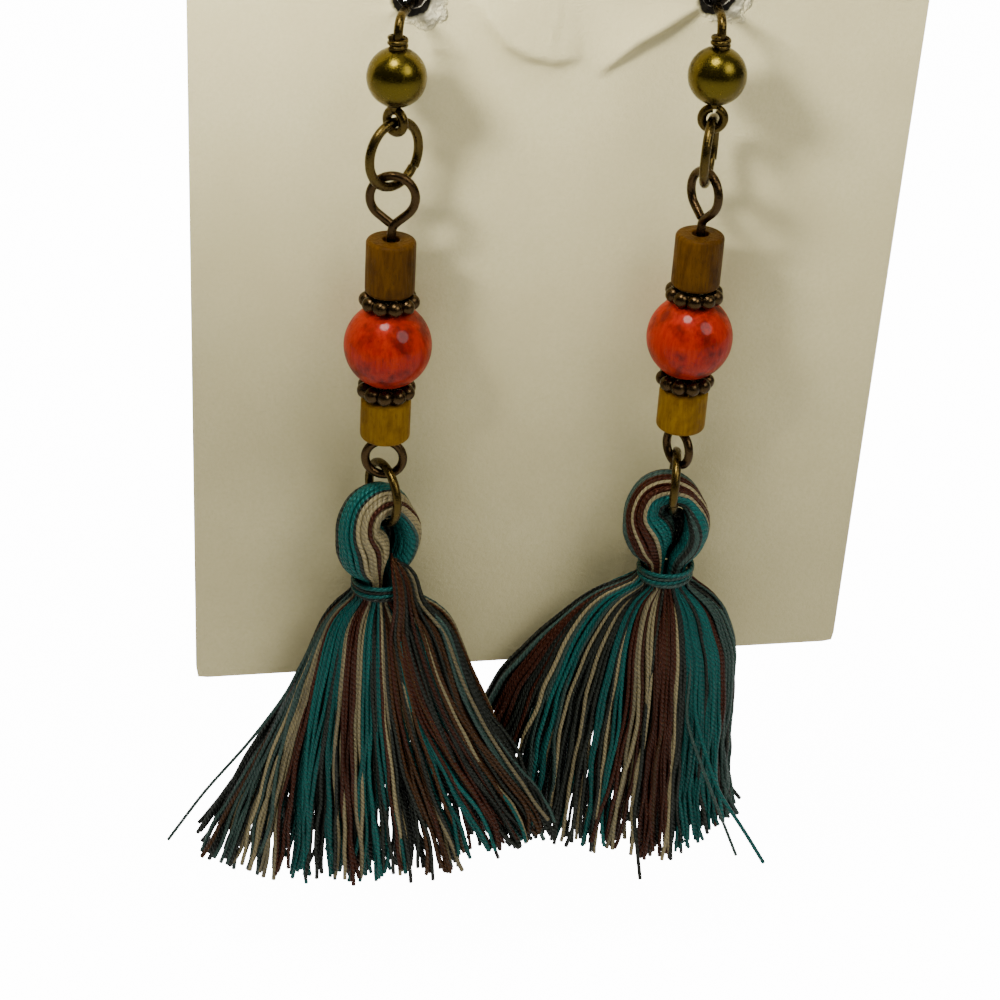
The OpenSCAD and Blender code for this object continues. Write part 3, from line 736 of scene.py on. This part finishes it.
def makeRing(side, name, level, body):
    # An open jump ring, its two cut ends almost meeting; level: upper or lower
    split = ring[level + "Split"]
    path = arc((0, 0), ring["radius"], split + ring["gap"] / 2, split + 360 - ring["gap"] / 2, 110)
    along = np.linspace(-1, 1, len(path))
    path[:, 1] += ring["slip"] * along * np.abs(along) ** 3
    tube = hung(path, side, ring[level + "Z"], earrings[side][level + "Ring"], ring["wire"])
    makeWire(side + name, body, side + "_" + level + "_ring", "agedBrassWire", [tube])


pin = {"wire": 0.63, "dropR": 1.55, "dropLen": 2.15, "dropZ": 8.5162, "apexZ": 6.3662, "loopR": 1.35,
       "loopZ": -11.3488, "loopTurn": (92, 442), "step": 0.12}


def makePin(side, body):
    # A teardrop loop whose cut end meets the stem, and a round loop at the foot
    yaw, apexZ = earrings[side]["pin"], pin["apexZ"]
    lean = math.degrees(math.asin(pin["dropR"] / pin["dropLen"]))
    drop = arc((0, pin["dropZ"]), pin["dropR"], 180 + lean, -lean, 70)
    stem = [[0.05, 0, apexZ + 0.12], [0, 0, apexZ - 0.5], [0, 0, pin["loopZ"] + pin["loopR"]]]
    line = np.concatenate([[[-0.12, 0, apexZ + 0.30]], drop, stem])
    loop = arc((0, pin["loopZ"]), pin["loopR"], *pin["loopTurn"], 90)
    eye = smoothed(resample(line, pin["step"]), 5)
    tubes = [hung(path, side, 0, yaw, pin["wire"]) for path in (eye, loop)]
    makeWire(side + "_pin_wire", body, side + "_eye_pin", "darkBronze", tubes)


# Beads: the CAD boxes give each one's place and size
def beadBox(node):
    low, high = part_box(node)
    middle = [(a + b) / 2 / mm for a, b in zip(low, high)]
    return middle, (high[0] - low[0]) / 2 / mm, (high[2] - low[2]) / mm


def makeBead(side, node, name, wood, upper, outside, segments, body):
    # upper: the profile from the bore to the edge, which the lower half mirrors
    profile = np.concatenate([upper, outside, upper[::-1] * [1, -1]])
    middle, _, _ = beadBox(side + node)
    makeTurning(side + name, body, side + node, woods[wood], profile, middle, segments)


tube = {"edge": 0.32, "bore": 0.6, "boreEdge": 0.08}


def makeTube(side, node, name, wood, body):
    _, radius, height = beadBox(side + node)
    half, e, b = height / 2, tube["edge"], tube["boreEdge"]
    lip = arc((tube["bore"] + b, half - b), b, 180, 90, 5)[:, ::2]
    face = np.column_stack([np.linspace(tube["bore"] + b, radius - e, 5)[1:-1], np.full(3, half)])
    rim = arc((radius - e, half - e), e, 90, 0, 7)[:, ::2]
    wall = np.column_stack([np.full(7, radius), np.linspace(half - e, e - half, 9)[1:-1]])
    makeBead(side, node, name, wood, np.concatenate([lip, face, rim]), wall, 72, body)


roundBead = {"lip": [(0.6, 0.07), (0.62, 0.02)], "face": 0.66, "shoulder": 0.12}


def makeRoundBead(side, body):
    _, radius, height = beadBox(side + "_round_bead")
    half = height / 2
    outer = meridian(radius, math.acos(half / radius), 50)
    # A soft shoulder lies between the flat end and the round side
    across = np.linspace(roundBead["face"], outer[0, 0] - roundBead["shoulder"], 4)
    face = np.column_stack([across, np.full(4, half)])
    lip = [[r, half - below] for r, below in roundBead["lip"]]
    makeBead(side, "_round_bead", "_red_bead", "redWood", np.concatenate([lip, face]),
             outer[1:-1], 96, body)


spacer = {"granule": 0.575, "ring": 1.55, "count": 10, "band": 0.36, "bore": 0.6}


def makeSpacer(side, place, yaw, body):
    # A plain band with granules round it
    node = side + "_spacer_" + place
    middle = np.array(beadBox(node)[0])
    band, radius = spacer["band"], spacer["ring"]
    shape = Shape()
    profile = [[spacer["bore"], -band], [radius, -band], [radius, band], [spacer["bore"], band]]
    shape.addLathe(np.array(profile), middle, 60)
    for k in range(spacer["count"]):
        a = math.radians(yaw + 360 * k / spacer["count"])
        at = middle + [radius * math.cos(a), radius * math.sin(a), 0]
        shape.addLathe(meridian(spacer["granule"], 0.02, 18)[::-1], at, 24, closed=False)
    shape.make(side + "_granules_" + place, body, [node], metals["darkBronze"])


for side, facts in earrings.items():
    drop = side + "_drop"
    makeHook(side)
    makeCoil(side)
    makeBall(side)
    makeRing(side, "_jump_ring", "upper", facts["ringBody"])
    makeRing(side, "_tassel_ring", "lower", drop)
    makePin(side, drop)
    makeTube(side, "_tube_bead_upper", "_brown_tube", "brownWood", drop)
    makeTube(side, "_tube_bead_lower", "_yellow_tube", "yellowWood", drop)
    makeRoundBead(side, drop)
    makeSpacer(side, "upper", facts["pin"], drop)
    makeSpacer(side, "lower", facts["pin"] + 18, drop)
print("metal and beads made")

# Tassels: the same outer form as the CAD solids, strand by strand
tassel = {"neckZ": -21.645, "neck": 1.75, "collar": 0.77, "length": 27.0, "halfWidth": 14.0, "halfDepth": 2.6,
          "lift": 0.14, "strand": 0.165, "rings": 46, "sides": 6, "headStrand": 0.185, "headRings": 72,
          "headSides": 9, "headWidth": 6.8, "headHeight": 8.4}
# Depth as a share of the length, then spread to left, to right and to front as shares
fans = {
    "left": [(0, 0, 0, 0), (0.035, 0.12, 0.20, 0.14), (0.10, 0.22, 0.34, 0.42), (0.25, 0.33, 0.44, 0.70),
             (0.42, 0.47, 0.57, 0.88), (0.62, 0.66, 0.74, 1.00), (0.82, 0.84, 0.89, 1.02),
             (1.1, 1.04, 1.03, 1.0)],
    "right": [(0, 0, 0, 0), (0.035, 0.22, 0.14, 0.14), (0.10, 0.38, 0.28, 0.42), (0.25, 0.62, 0.375, 0.70),
              (0.42, 0.84, 0.38, 0.88), (0.62, 0.96, 0.385, 1.00), (0.82, 1.03, 0.41, 1.02),
              (1.1, 1.11, 0.50, 1.0)],
}
# Lengths of the locks as shares, from the right edge round the back and along the front
locks = {
    "left": [0.98, 0.94, 0.90, 0.93, 0.88, 0.95, 0.97, 0.94, 0.98, 0.97, 1.02, 1.08,
             1.12, 1.08, 1.06, 1.03, 0.98, 0.97, 0.95, 0.96, 0.92, 0.95, 0.95, 0.98],
    "right": [0.93, 0.96, 0.90, 0.95, 0.93, 0.94, 0.92, 0.90, 0.92, 0.88, 0.91, 0.88,
              0.92, 0.92, 0.94, 0.92, 0.94, 0.93, 0.95, 0.96, 0.94, 0.93, 0.96, 0.94],
}
# Bands of colour across the front of a skirt: where each ends, as a share of the half width,
# just below the neck, at mid length and near the tips; the near black bands are partly painted shade
frontBands = {
    "left": [(-0.97, -0.97, -0.93, "umber"), (-0.955, -0.93, -0.86, "slate"), (-0.94, -0.88, -0.80, "tan"),
             (-0.93, -0.84, -0.75, "slate"), (-0.89, -0.76, -0.60, "tan"), (-0.86, -0.68, -0.50, "maroon"),
             (-0.64, -0.53, -0.40, "teal"), (-0.61, -0.45, -0.32, "inkAndShade"), (-0.60, -0.41, -0.26, "teal"),
             (-0.585, -0.38, -0.19, "inkAndShade"), (-0.50, -0.335, -0.14, "tan"), (-0.36, -0.20, -0.11, "maroon"),
             (-0.26, -0.16, -0.06, "tan"), (-0.10, -0.03, 0.02, "teal"), (-0.06, 0.01, 0.07, "inkAndShade"),
             (0.02, 0.06, 0.15, "teal"), (0.05, 0.09, 0.19, "maroon"), (0.08, 0.125, 0.24, "tan"),
             (0.10, 0.18, 0.32, "inkAndShade"), (0.19, 0.30, 0.45, "umber"), (0.21, 0.325, 0.49, "tan"),
             (0.25, 0.40, 0.66, "teal"), (0.34, 0.52, 0.74, "maroon"), (0.41, 0.56, 0.78, "tan"),
             (0.50, 0.64, 0.83, "inkAndShade"), (0.56, 0.70, 0.87, "teal"), (0.62, 0.73, 0.90, "tan"),
             (0.80, 0.80, 0.94, "umber"), (0.92, 0.92, 0.99, "slate"), (1.02, 1.02, 1.06, "inkAndShade")],
    "right": [(-0.98, -0.95, -0.95, "slate"), (-0.97, -0.86, -0.86, "maroon"), (-0.96, -0.81, -0.81, "inkAndShade"),
              (-0.95, -0.76, -0.76, "maroon"), (-0.94, -0.72, -0.72, "inkAndShade"), (-0.90, -0.695, -0.69, "tan"),
              (-0.87, -0.66, -0.65, "slate"), (-0.70, -0.58, -0.56, "teal"), (-0.68, -0.555, -0.54, "slate"),
              (-0.62, -0.53, -0.51, "tan"), (-0.60, -0.46, -0.44, "inkAndShade"), (-0.54, -0.43, -0.41, "tan"),
              (-0.50, -0.38, -0.37, "inkAndShade"), (-0.44, -0.32, -0.31, "teal"), (-0.42, -0.285, -0.28, "inkAndShade"),
              (-0.40, -0.245, -0.25, "tan"), (-0.36, -0.20, -0.20, "teal"), (-0.28, -0.12, -0.15, "maroon"),
              (-0.24, -0.092, -0.12, "tan"), (-0.18, -0.045, -0.08, "maroon"), (-0.11, -0.015, -0.04, "tan"),
              (0.02, 0.10, 0.10, "maroon"), (0.05, 0.14, 0.14, "umber"), (0.18, 0.25, 0.28, "maroon"),
              (0.22, 0.29, 0.32, "tan"), (0.28, 0.42, 0.42, "inkAndShade"), (0.46, 0.60, 0.66, "teal"),
              (0.52, 0.66, 0.71, "inkAndShade"), (0.66, 0.80, 0.86, "teal"), (0.72, 0.88, 0.92, "maroon"),
              (0.92, 0.98, 0.98, "slate"), (1.02, 1.02, 1.02, "inkAndShade")],
}


def bandAt(side, place):
    # The colour, and the shares below the neck, at mid length and near the tips
    table = frontBands[side]
    limits = np.array([(-1.0, -1.0, -1.0)] + [row[:3] for row in table])
    middle = (limits[:, 1] + limits[:, 2]) / 2
    shares = [float(np.interp(place, middle, limits[:, k])) for k in range(3)]
    return table[min(int(np.searchsorted(middle[1:], place)), len(table) - 1)][3], shares


def softInterp(at, places, values, spread):
    # Straight lines between the values, with their corners softened over a spread
    return sum(np.interp(at + shift * spread, places, values) for shift in (-1, -0.5, 0, 0.5, 1)) / 5


def fanAt(side, depth, column):
    rows = np.array(fans[side])
    return softInterp(depth, rows[:, 0], rows[:, column], 0.03)


def easeIn(x):
    x = np.clip(x, 0, 1)
    return x * x * (3 - 2 * x)


# Rows of strands: how many, at the front or the back, how far out
skirtRows = [(80, 1, 1.0), (74, 1, 0.74), (58, 1, 0.40), (52, -1, 0.30), (56, -1, 0.66), (64, -1, 1.0)]
# Bunching of the tips into locks: size and number of locks per unit of share
bunching = [(0.010, 8.0), (0.016, 3.6)]
# How strands stray: drift across of tidy and of loose ones, how many are loose, waves as (size, number
# along the strand), and the flick of the tips across and in depth, from a share of the length
stray = {"tidy": 0.014, "loose": 0.06, "loosePart": 0.12, "waves": ((0.11, 1.1), (0.05, 3.0), (0.014, 6.5)),
         "flick": (0.32, 0.2), "flickFrom": 0.80}
# How uneven the ends are: most strands, the odd ones, and how many are odd
ends = {"even": 0.018, "odd": 0.06, "oddPart": 0.08}
# Strands that come out under the left head's eye and run over the binding: place and colour
overBinding = {
    "left": [(0.30, "maroon"), (0.37, "inkAndShade"), (0.44, "umber"), (0.50, "maroon"), (0.56, "umber"),
             (0.62, "inkAndShade"), (0.70, "maroon"), (0.77, "umber"), (0.84, "inkAndShade"), (0.90, "tan"),
             (0.96, "inkAndShade"), (0.98, "inkAndShade")],
}
# Their start over the binding, the bend over it as (radius, height), and where they join the skirt
over = {"rise": 2.7, "out": 0.8, "bend": [(1.9, 1.7), (2.4, 1.0), (2.55, 0.1), (2.7, -0.9)], "joins": -3.4}
# Strands that leave the skirt: where they part from it and the places that they pass
leavers = {
    "left": [{"share": -0.97, "colour": "slate", "leaves": 0.40, "width": 0.85,
              "through": [(-9.3, -2.4, -13.2), (-12.8, -2.8, -17.8), (-15.6, -3.0, -22.4)]}],
    "right": [{"share": 0.48, "colour": "teal", "leaves": 0.44, "width": 1.0,
               "through": [(5.4, -3.6, -17.9), (7.8, -3.7, -21.4), (9.9, -3.4, -25.0)]},
              {"share": 0.40, "colour": "slate", "leaves": 0.46, "width": 0.8,
               "through": [(4.8, -3.7, -17.6), (7.6, -3.6, -24.2)]},
              {"share": -0.05, "colour": "inkAndShade", "leaves": 0.8, "width": 1.0,
               "through": [(0.1, -4.3, -26.4)]}],
}


def strandPath(side, shares, front, layer, reach, own, phases=(0.0, 0.0)):
    # shares: across below the neck, at mid length and near the tips; front: 1 front, -1 back;
    # layer: 1 outside to 0 centre
    depth = np.linspace(-0.012, 1.0, tassel["rings"])
    d = np.clip(depth, 0, 1)
    low, middle, tip = shares
    past = tip + 0.3 * (tip - middle)
    across = softInterp(d, [0, 0.06, 0.40, 0.80, 1.0], [low, low, middle, tip, past], 0.1)
    wander = stray["loose"] if own.random() < stray["loosePart"] else stray["tidy"]
    tips = sum(size * math.sin(2 * math.pi * waves * tip + phase)
               for (size, waves), phase in zip(bunching, phases))
    drift = own.normal(0, wander) * easeIn((d - 0.3) / 0.7) + tips * easeIn((d - 0.45) / 0.5)
    c = np.clip(across + drift, -1.03, 1.03)
    s = -front * np.sqrt(np.clip(1 - c * c, 0, 1))
    spread = np.where(c < 0, fanAt(side, d, 1), fanAt(side, d, 2)) * tassel["halfWidth"]
    deep = fanAt(side, d, 3) * tassel["halfDepth"]
    # Packed round the neck, then spread out over the fan
    neck = tassel["neck"]
    inset = tassel["strand"] + own.uniform(0, 0.45) * (1 - easeIn(d / 0.22))
    blend = easeIn(d / 0.40)
    nearNeck = (0.55 + 0.45 * layer) * (1 - blend)
    x = c * ((neck - inset) * (nearNeck + blend) + spread * (1 - neck / tassel["halfWidth"]))
    y = s * (nearNeck + layer * blend) * (neck - inset + deep * (1 - neck / tassel["halfDepth"]))
    down = tassel["collar"] + depth * (tassel["length"] * reach - tassel["collar"])
    z = -down * (1 - tassel["lift"] * c * c * d)
    # Loose waves and a slow lean that grow towards the tips
    loose = easeIn(d / 0.8)
    for size, waves in stray["waves"]:
        turn = own.uniform(0, 2 * math.pi, 2)
        pace = waves * own.uniform(0.8, 1.25) * 2 * math.pi
        x = x + loose * size * 1.5 * np.sin(pace * d + turn[0])
        y = y + loose * size * np.sin(pace * d + turn[1])
    flick = np.clip((d - stray["flickFrom"]) / (1 - stray["flickFrom"]), 0, 1) ** 2
    x, y = (v + own.normal(0, size) * flick for v, size in zip((x, y), stray["flick"]))
    return np.column_stack([x, y, z])


def evenStrand(points, step, rounds, count):
    return spaced(smoothed(resample(points, step), rounds), count)


def skirtStrands(side):
    # Every strand as (path, colour name, width)
    own = np.random.default_rng(earrings[side]["skirtSeed"])
    strands = []

    def reachAt(share, front):
        a = math.degrees(math.acos(max(-1, min(1, share))))
        a = 360 - a if front > 0 else a
        odd = ends["odd"] if own.random() < ends["oddPart"] else ends["even"]
        length = locks[side][int(a // (360 / len(locks[side]))) % len(locks[side])]
        return length * (1 - abs(own.normal(0, odd)) + 0.4 * odd)

    for count, front, layer in skirtRows:
        phases = own.uniform(0, 2 * math.pi, 2)
        for k in range(count):
            place = float(np.clip(-1 + 2 * (k + 0.5) / count + own.normal(0, 0.006), -0.99, 0.99))
            jitter = own.normal(0, 0.008) if layer == 1.0 and front > 0 else own.normal(0.03, 0.06)
            name, _ = bandAt(side, front * place + jitter)
            shares = bandAt(side, place)[1] if front > 0 else [place * 0.98, place, place]
            # Painted shade: strands of inner rows turn near black, the more often the deeper the row
            if own.random() < 1.25 * (1 - layer):
                name = "inkAndShade"
            path = strandPath(side, shares, front, layer, reachAt(shares[2], front), own, phases)
            strands.append((path, name, own.uniform(0.88, 1.1)))
    for place, name in overBinding.get(side, []):
        shares = bandAt(side, place)[1]
        path = strandPath(side, shares, 1, 1.03, reachAt(shares[2], 1), own)
        turn = 0.42 + 0.57 * (place - 0.25) / 0.75
        way = np.array([turn, -math.sqrt(1 - turn * turn)]) * (1 + 0.35 * max(0, turn - 0.5))
        start = [[over["out"] * (0.5 + turn), -0.3 - 0.5 * own.random(),
                  over["rise"] - 0.9 * turn + 0.4 * own.random()]]
        bend = [[*(way * r), z + own.normal(0, 0.05)] for r, z in over["bend"]]
        path = np.concatenate([start, bend, path[path[:, 2] < over["joins"]]])
        strands.append((evenStrand(path, 0.35, 5, tassel["rings"]), name, own.uniform(0.85, 1.05)))
    for leaver in leavers[side]:
        path = strandPath(side, [leaver["share"]] * 3, 1, 1.04, 1.0, own)
        path = np.concatenate([path[:int(leaver["leaves"] * len(path))], leaver["through"]])
        strands.append((evenStrand(path, 0.6, 8, tassel["rings"]), leaver["colour"], leaver["width"]))
    return strands


# Head: rows down one leg to the other in millimetres: across, up, half thick, half broad
def headRows():
    w, h = tassel["headWidth"], tassel["headHeight"]
    neck, collar = tassel["neck"] * 2, tassel["collar"]
    legs = [neck * 0.235, neck * 0.215, neck * 0.38]
    top = collar + legs[1] / 3
    shape = [(-0.20, 0.24, 0.26, 0.29), (-0.225, 0.42, 0.31, 0.32), (-0.30, 0.60, 0.225, 0.30),
             (-0.22, 0.775, 0.205, 0.265), (-0.03, 0.834, 0.203, 0.245), (0.155, 0.78, 0.185, 0.235),
             (0.27, 0.62, 0.16, 0.235), (0.31, 0.45, 0.15, 0.235), (0.25, 0.26, 0.14, 0.22)]
    rows = [(-legs[0], z, legs[1], legs[2]) for z in (-collar, top)]
    rows += [(a * w, b * h, c * w, d * w) for a, b, c, d in shape]
    rows += [(legs[0], z, legs[1], legs[2]) for z in (top, -collar)]
    return np.array(rows)


# Colours round the head's bundle, by angle: 180 is the outer side, 270 the front; the near black bands are
# partly painted shade
headBands = {
    "left": [(90, "teal"), (105, "inkAndShade"), (150, "slate"), (178, "inkAndShade"), (230, "teal"), (239, "inkAndShade"),
             (271, "tan"),
             (290, "maroon"), (334, "tan"), (346, "slate"), (354, "inkAndShade"), (360, "teal")],
    "right": [(25, "slate"), (40, "inkAndShade"), (58, "slate"), (105, "teal"), (125, "inkAndShade"), (165, "slate"),
              (190, "tan"),
              (212, "umber"), (235, "slate"), (254, "maroon"), (266, "tan"), (300, "maroon"), (310, "tan"),
              (350, "teal"), (360, "inkAndShade")],
}
# Turn of the bundle as it rises, between which shares of its length, and then over the top
headTurns = {"left": {"rise": 30, "from": 0.24, "over": 60}, "right": {"rise": 50, "from": 0.08, "over": 60}}
# Layers of strands: how far out, how many, and a seed
headLayers = [(1.0, 34, 5000), (0.76, 24, 3800)]
# Where the bundle is pinched as a share of its length, how much and how wide
pinch = {"at": 0.60, "depth": 0.32, "width": 0.075}
# Strands that close the eye from behind, mostly near black as painted shade in the eye: half width, top,
# depth, colour
eyeShadeStrands = [(0.85, 5.0, 1.1, "inkAndShade"), (0.62, 4.7, 0.80, "inkAndShade"), (0.28, 4.35, 0.85, "maroon"),
              (0.45, 4.5, 0.5, "inkAndShade"), (0.12, 4.1, 0.6, "inkAndShade")]


def headStrands(side):
    # Every strand as (path, colour name)
    rows, turns = headRows(), headTurns[side]
    run = runAlong(rows[:, :2])
    at = np.linspace(0, run[-1], tassel["headRings"])
    line = smoothed(np.column_stack([np.interp(at, run, column) for column in rows.T]), 6)
    way = unit(np.gradient(line[:, :2], axis=0))
    share = at / run[-1]
    arch = np.sin(math.pi * share)
    turn = -turns["over"] * easeIn((share - 0.5) / 0.3)
    turn = turn - turns["rise"] * easeIn((share - turns["from"]) / (0.48 - turns["from"]))
    narrow = pinch["depth"] * np.exp(-((share - pinch["at"]) / pinch["width"]) ** 2)
    strands = []
    for layer, count, seed in headLayers:
        for k in range(count):
            own = np.random.default_rng(earrings[side]["headSeed"] + seed + k)
            start = 360 * (k + 0.5) / count
            name = next(band for limit, band in headBands[side] if start < limit)
            a = np.radians(start + own.normal(0, 4) * arch + turn)
            # Pulled in by half a strand, and a little uneven
            size = (1 - 0.05 * own.random() * arch - narrow) * layer
            thick, broad = (line[:, 2:] - tassel["headStrand"]).T * size
            x = line[:, 0] + way[:, 1] * thick * np.cos(a)
            z = line[:, 1] - way[:, 0] * thick * np.cos(a)
            strands.append((np.column_stack([x, broad * np.sin(a), z]), name))
    for half, top, deep, name in eyeShadeStrands:
        a = np.linspace(math.pi, 0, 9)
        bowed = np.column_stack([0.52 + half * np.cos(a), np.full(9, deep), top - 1.0 + np.sin(a)])
        rising, falling = [[0.1, deep, 0.9], [0.45, deep, 2.0]], [[0.62, deep, 2.0], [0.6, deep, 0.9]]
        path = np.concatenate([rising, bowed, falling])
        strands.append((evenStrand(path, 0.2, 3, tassel["headRings"]), name))
    return strands


def makeTassel(side):
    # One piece for each colour of thread, skirt and head together
    facts = earrings[side]
    sets = {name: {"skirt": [], "width": [], "head": []} for name in threads}
    for path, name, width in skirtStrands(side):
        sets[name]["skirt"].append(onLine(path, side, tassel["neckZ"], facts["skirt"]))
        sets[name]["width"].append([width])
    for path, name in headStrands(side):
        sets[name]["head"].append(onLine(path, side, tassel["neckZ"], facts["head"]))
    for name, both in sets.items():
        shape = Shape()
        if both["skirt"]:
            paths = np.array(both["skirt"])
            thin = 0.72 + 0.28 * easeIn(np.linspace(0, 1, tassel["rings"]) / 0.3)
            out = paths.mean(1, keepdims=True) - np.array([*facts["line"], 0])
            out[:, :, 2] = 0
            radii = tassel["strand"] * thin * np.array(both["width"])
            shape.addTubes(paths, unit(out), radii, tassel["sides"], dice.random(len(paths)),
                           dice.random(len(paths)))
        if both["head"]:
            paths = np.array(both["head"])
            shape.addTubes(paths, turned((0, 1, 0), facts["head"]), tassel["headStrand"], tassel["headSides"],
                           dice.random(len(paths)) * 0.5 + 0.5, dice.random(len(paths)))
        shape.make(side + "_strands_" + name, side + "_drop", [side + "_tassel"],
                   threads[name])


binding = {"thread": 0.16, "radius": 2.0, "pitch": 0.28, "turns": 2.05, "start": 70, "step": 25, "tone": 0.35,
           "colours": {"left": ["inkAndShade", "teal"], "right": ["slate", "teal"]}}


def makeBinding(side):
    # Two threads wound side by side, a little uneven
    turns = np.linspace(0, binding["turns"], 150)
    for index, name in enumerate(binding["colours"][side]):
        a = math.radians(binding["start"] + binding["step"] * index) + 2 * math.pi * turns
        level = 2 * (turns - binding["turns"] / 2) + index - 0.5
        z = level * binding["pitch"] + 0.05 * np.sin(2.3 * a + 2 * index)
        path = winding(binding["radius"] + 0.04 * np.sin(1.7 * a + index), a, z)
        shape = Shape()
        placed = onLine(path, side, tassel["neckZ"])
        shape.addTubes(placed, (0, 0, 1), binding["thread"], 12, [binding["tone"]])
        shape.make(side + "_binding_" + name, side + "_drop", [side + "_tassel_binding"],
                   threads[name])


for side in earrings:
    makeTassel(side)
    makeBinding(side)
print("tassels made")

# Floor, in metres, and how bright it looks to the camera alone, as an overexposed white sweep
sweep = {"half": 4.0, "z": -0.058, "colours": [(0.86, 0.86, 0.85), (0.9, 0.9, 0.89)], "rough": 0.6,
         "glow": 14.0}


def makeFloor():
    material, tree, shader = newMaterial("paleFloor")
    cloud = noise(tree, inMillimetres(tree), 0.02, 2.0)
    seen = put(tree, "ShaderNodeLightPath").outputs["Is Camera Ray"]
    feed(tree, shader, {"Base Color": blendColours(tree, cloud, *sweep["colours"]),
                        "Roughness": sweep["rough"], "Emission Color": (1, 1, 1),
                        "Emission Strength": maths(tree, "MULTIPLY", seen, sweep["glow"])})
    mesh = bpy.data.meshes.new("floor")
    w, z = sweep["half"], sweep["z"]
    mesh.from_pydata([(-w, -w, z), (w, -w, z), (w, w, z), (-w, w, z)], [], [[0, 1, 2, 3]])
    floor = bpy.data.objects.new("floor", mesh)
    mesh.materials.append(material)
    bpy.context.scene.collection.objects.link(floor)


def hangLamp(name, lamp, place, way):
    # Hangs a lamp at a place in metres so that it shines along a way
    light = bpy.data.objects.new(name, lamp)
    level = unit(np.cross(way, [0, 0, 1]))
    standAt(light, place, level, np.cross(level, way), way)
    return light


# Soft round lamps in metres and watts, all turned to one target
lamps = {
    "keyLight": {"place": (-0.12, -0.14, 0.50), "size": 0.20, "power": 2.5, "tint": (1.0, 0.98, 0.93)},
    "frontFill": {"place": (0.42, -0.48, 0.52), "size": 0.45, "power": 3.0, "tint": (1.0, 0.99, 0.95)},
}
lampTarget = (0, 0, -0.01)


def addLamp(name, facts):
    lamp = bpy.data.lights.new(name, "AREA")
    lamp.shape = "DISK"
    lamp.size = facts["size"]
    lamp.energy = facts["power"]
    lamp.color = facts["tint"]
    hangLamp(name, lamp, facts["place"], unit(np.array(lampTarget) - np.array(facts["place"])))


# A spot whose lower edge falls across the card as a soft boundary between two places on it
patch = {"place": (-0.085, -0.060, 0.085), "from": (-0.0254, 0, 0.0082), "to": (0.0254, 0, -0.0019),
         "half": 34, "power": 2.0, "tint": (1.0, 0.98, 0.94), "edge": 0.02, "size": 0.017}


def addPatch():
    place, start, end = (np.array(patch[key], float) for key in ("place", "from", "to"))
    ahead = unit((start + end) / 2 - place)
    upward = unit(np.cross(end - start, ahead))
    half = math.radians(patch["half"])
    lamp = bpy.data.lights.new("patchLight", "SPOT")
    lamp.spot_size = 2 * half
    lamp.spot_blend = patch["edge"]
    lamp.shadow_soft_size = patch["size"]
    lamp.energy = patch["power"]
    lamp.color = patch["tint"]
    light = hangLamp("patchLight", lamp, patch["place"], math.cos(half) * ahead + math.sin(half) * upward)
    light.visible_glossy = False


def makeRoom():
    world = bpy.data.worlds.new("paleRoom")
    world.use_nodes = True
    room, background = world.node_tree, world.node_tree.nodes["Background"]
    way = put(room, "ShaderNodeTexCoord").outputs["Generated"]
    facing = put(room, "ShaderNodeSeparateXYZ", {0: way}).outputs
    # Brighter overhead and behind, darker where the photographer stands
    overhead = stretch(room, facing[2], -0.1, 0.9, 0.07, 0.36)
    behind = stretch(room, facing[1], -0.7, 0.6, 0.35, 1.0)
    feed(room, background, {"Strength": maths(room, "MULTIPLY", overhead, behind), "Color": (1, 1, 1)})
    bpy.context.scene.world = world


makeFloor()
for name, facts in lamps.items():
    addLamp(name, facts)
addPatch()
makeRoom()
print("stage made")
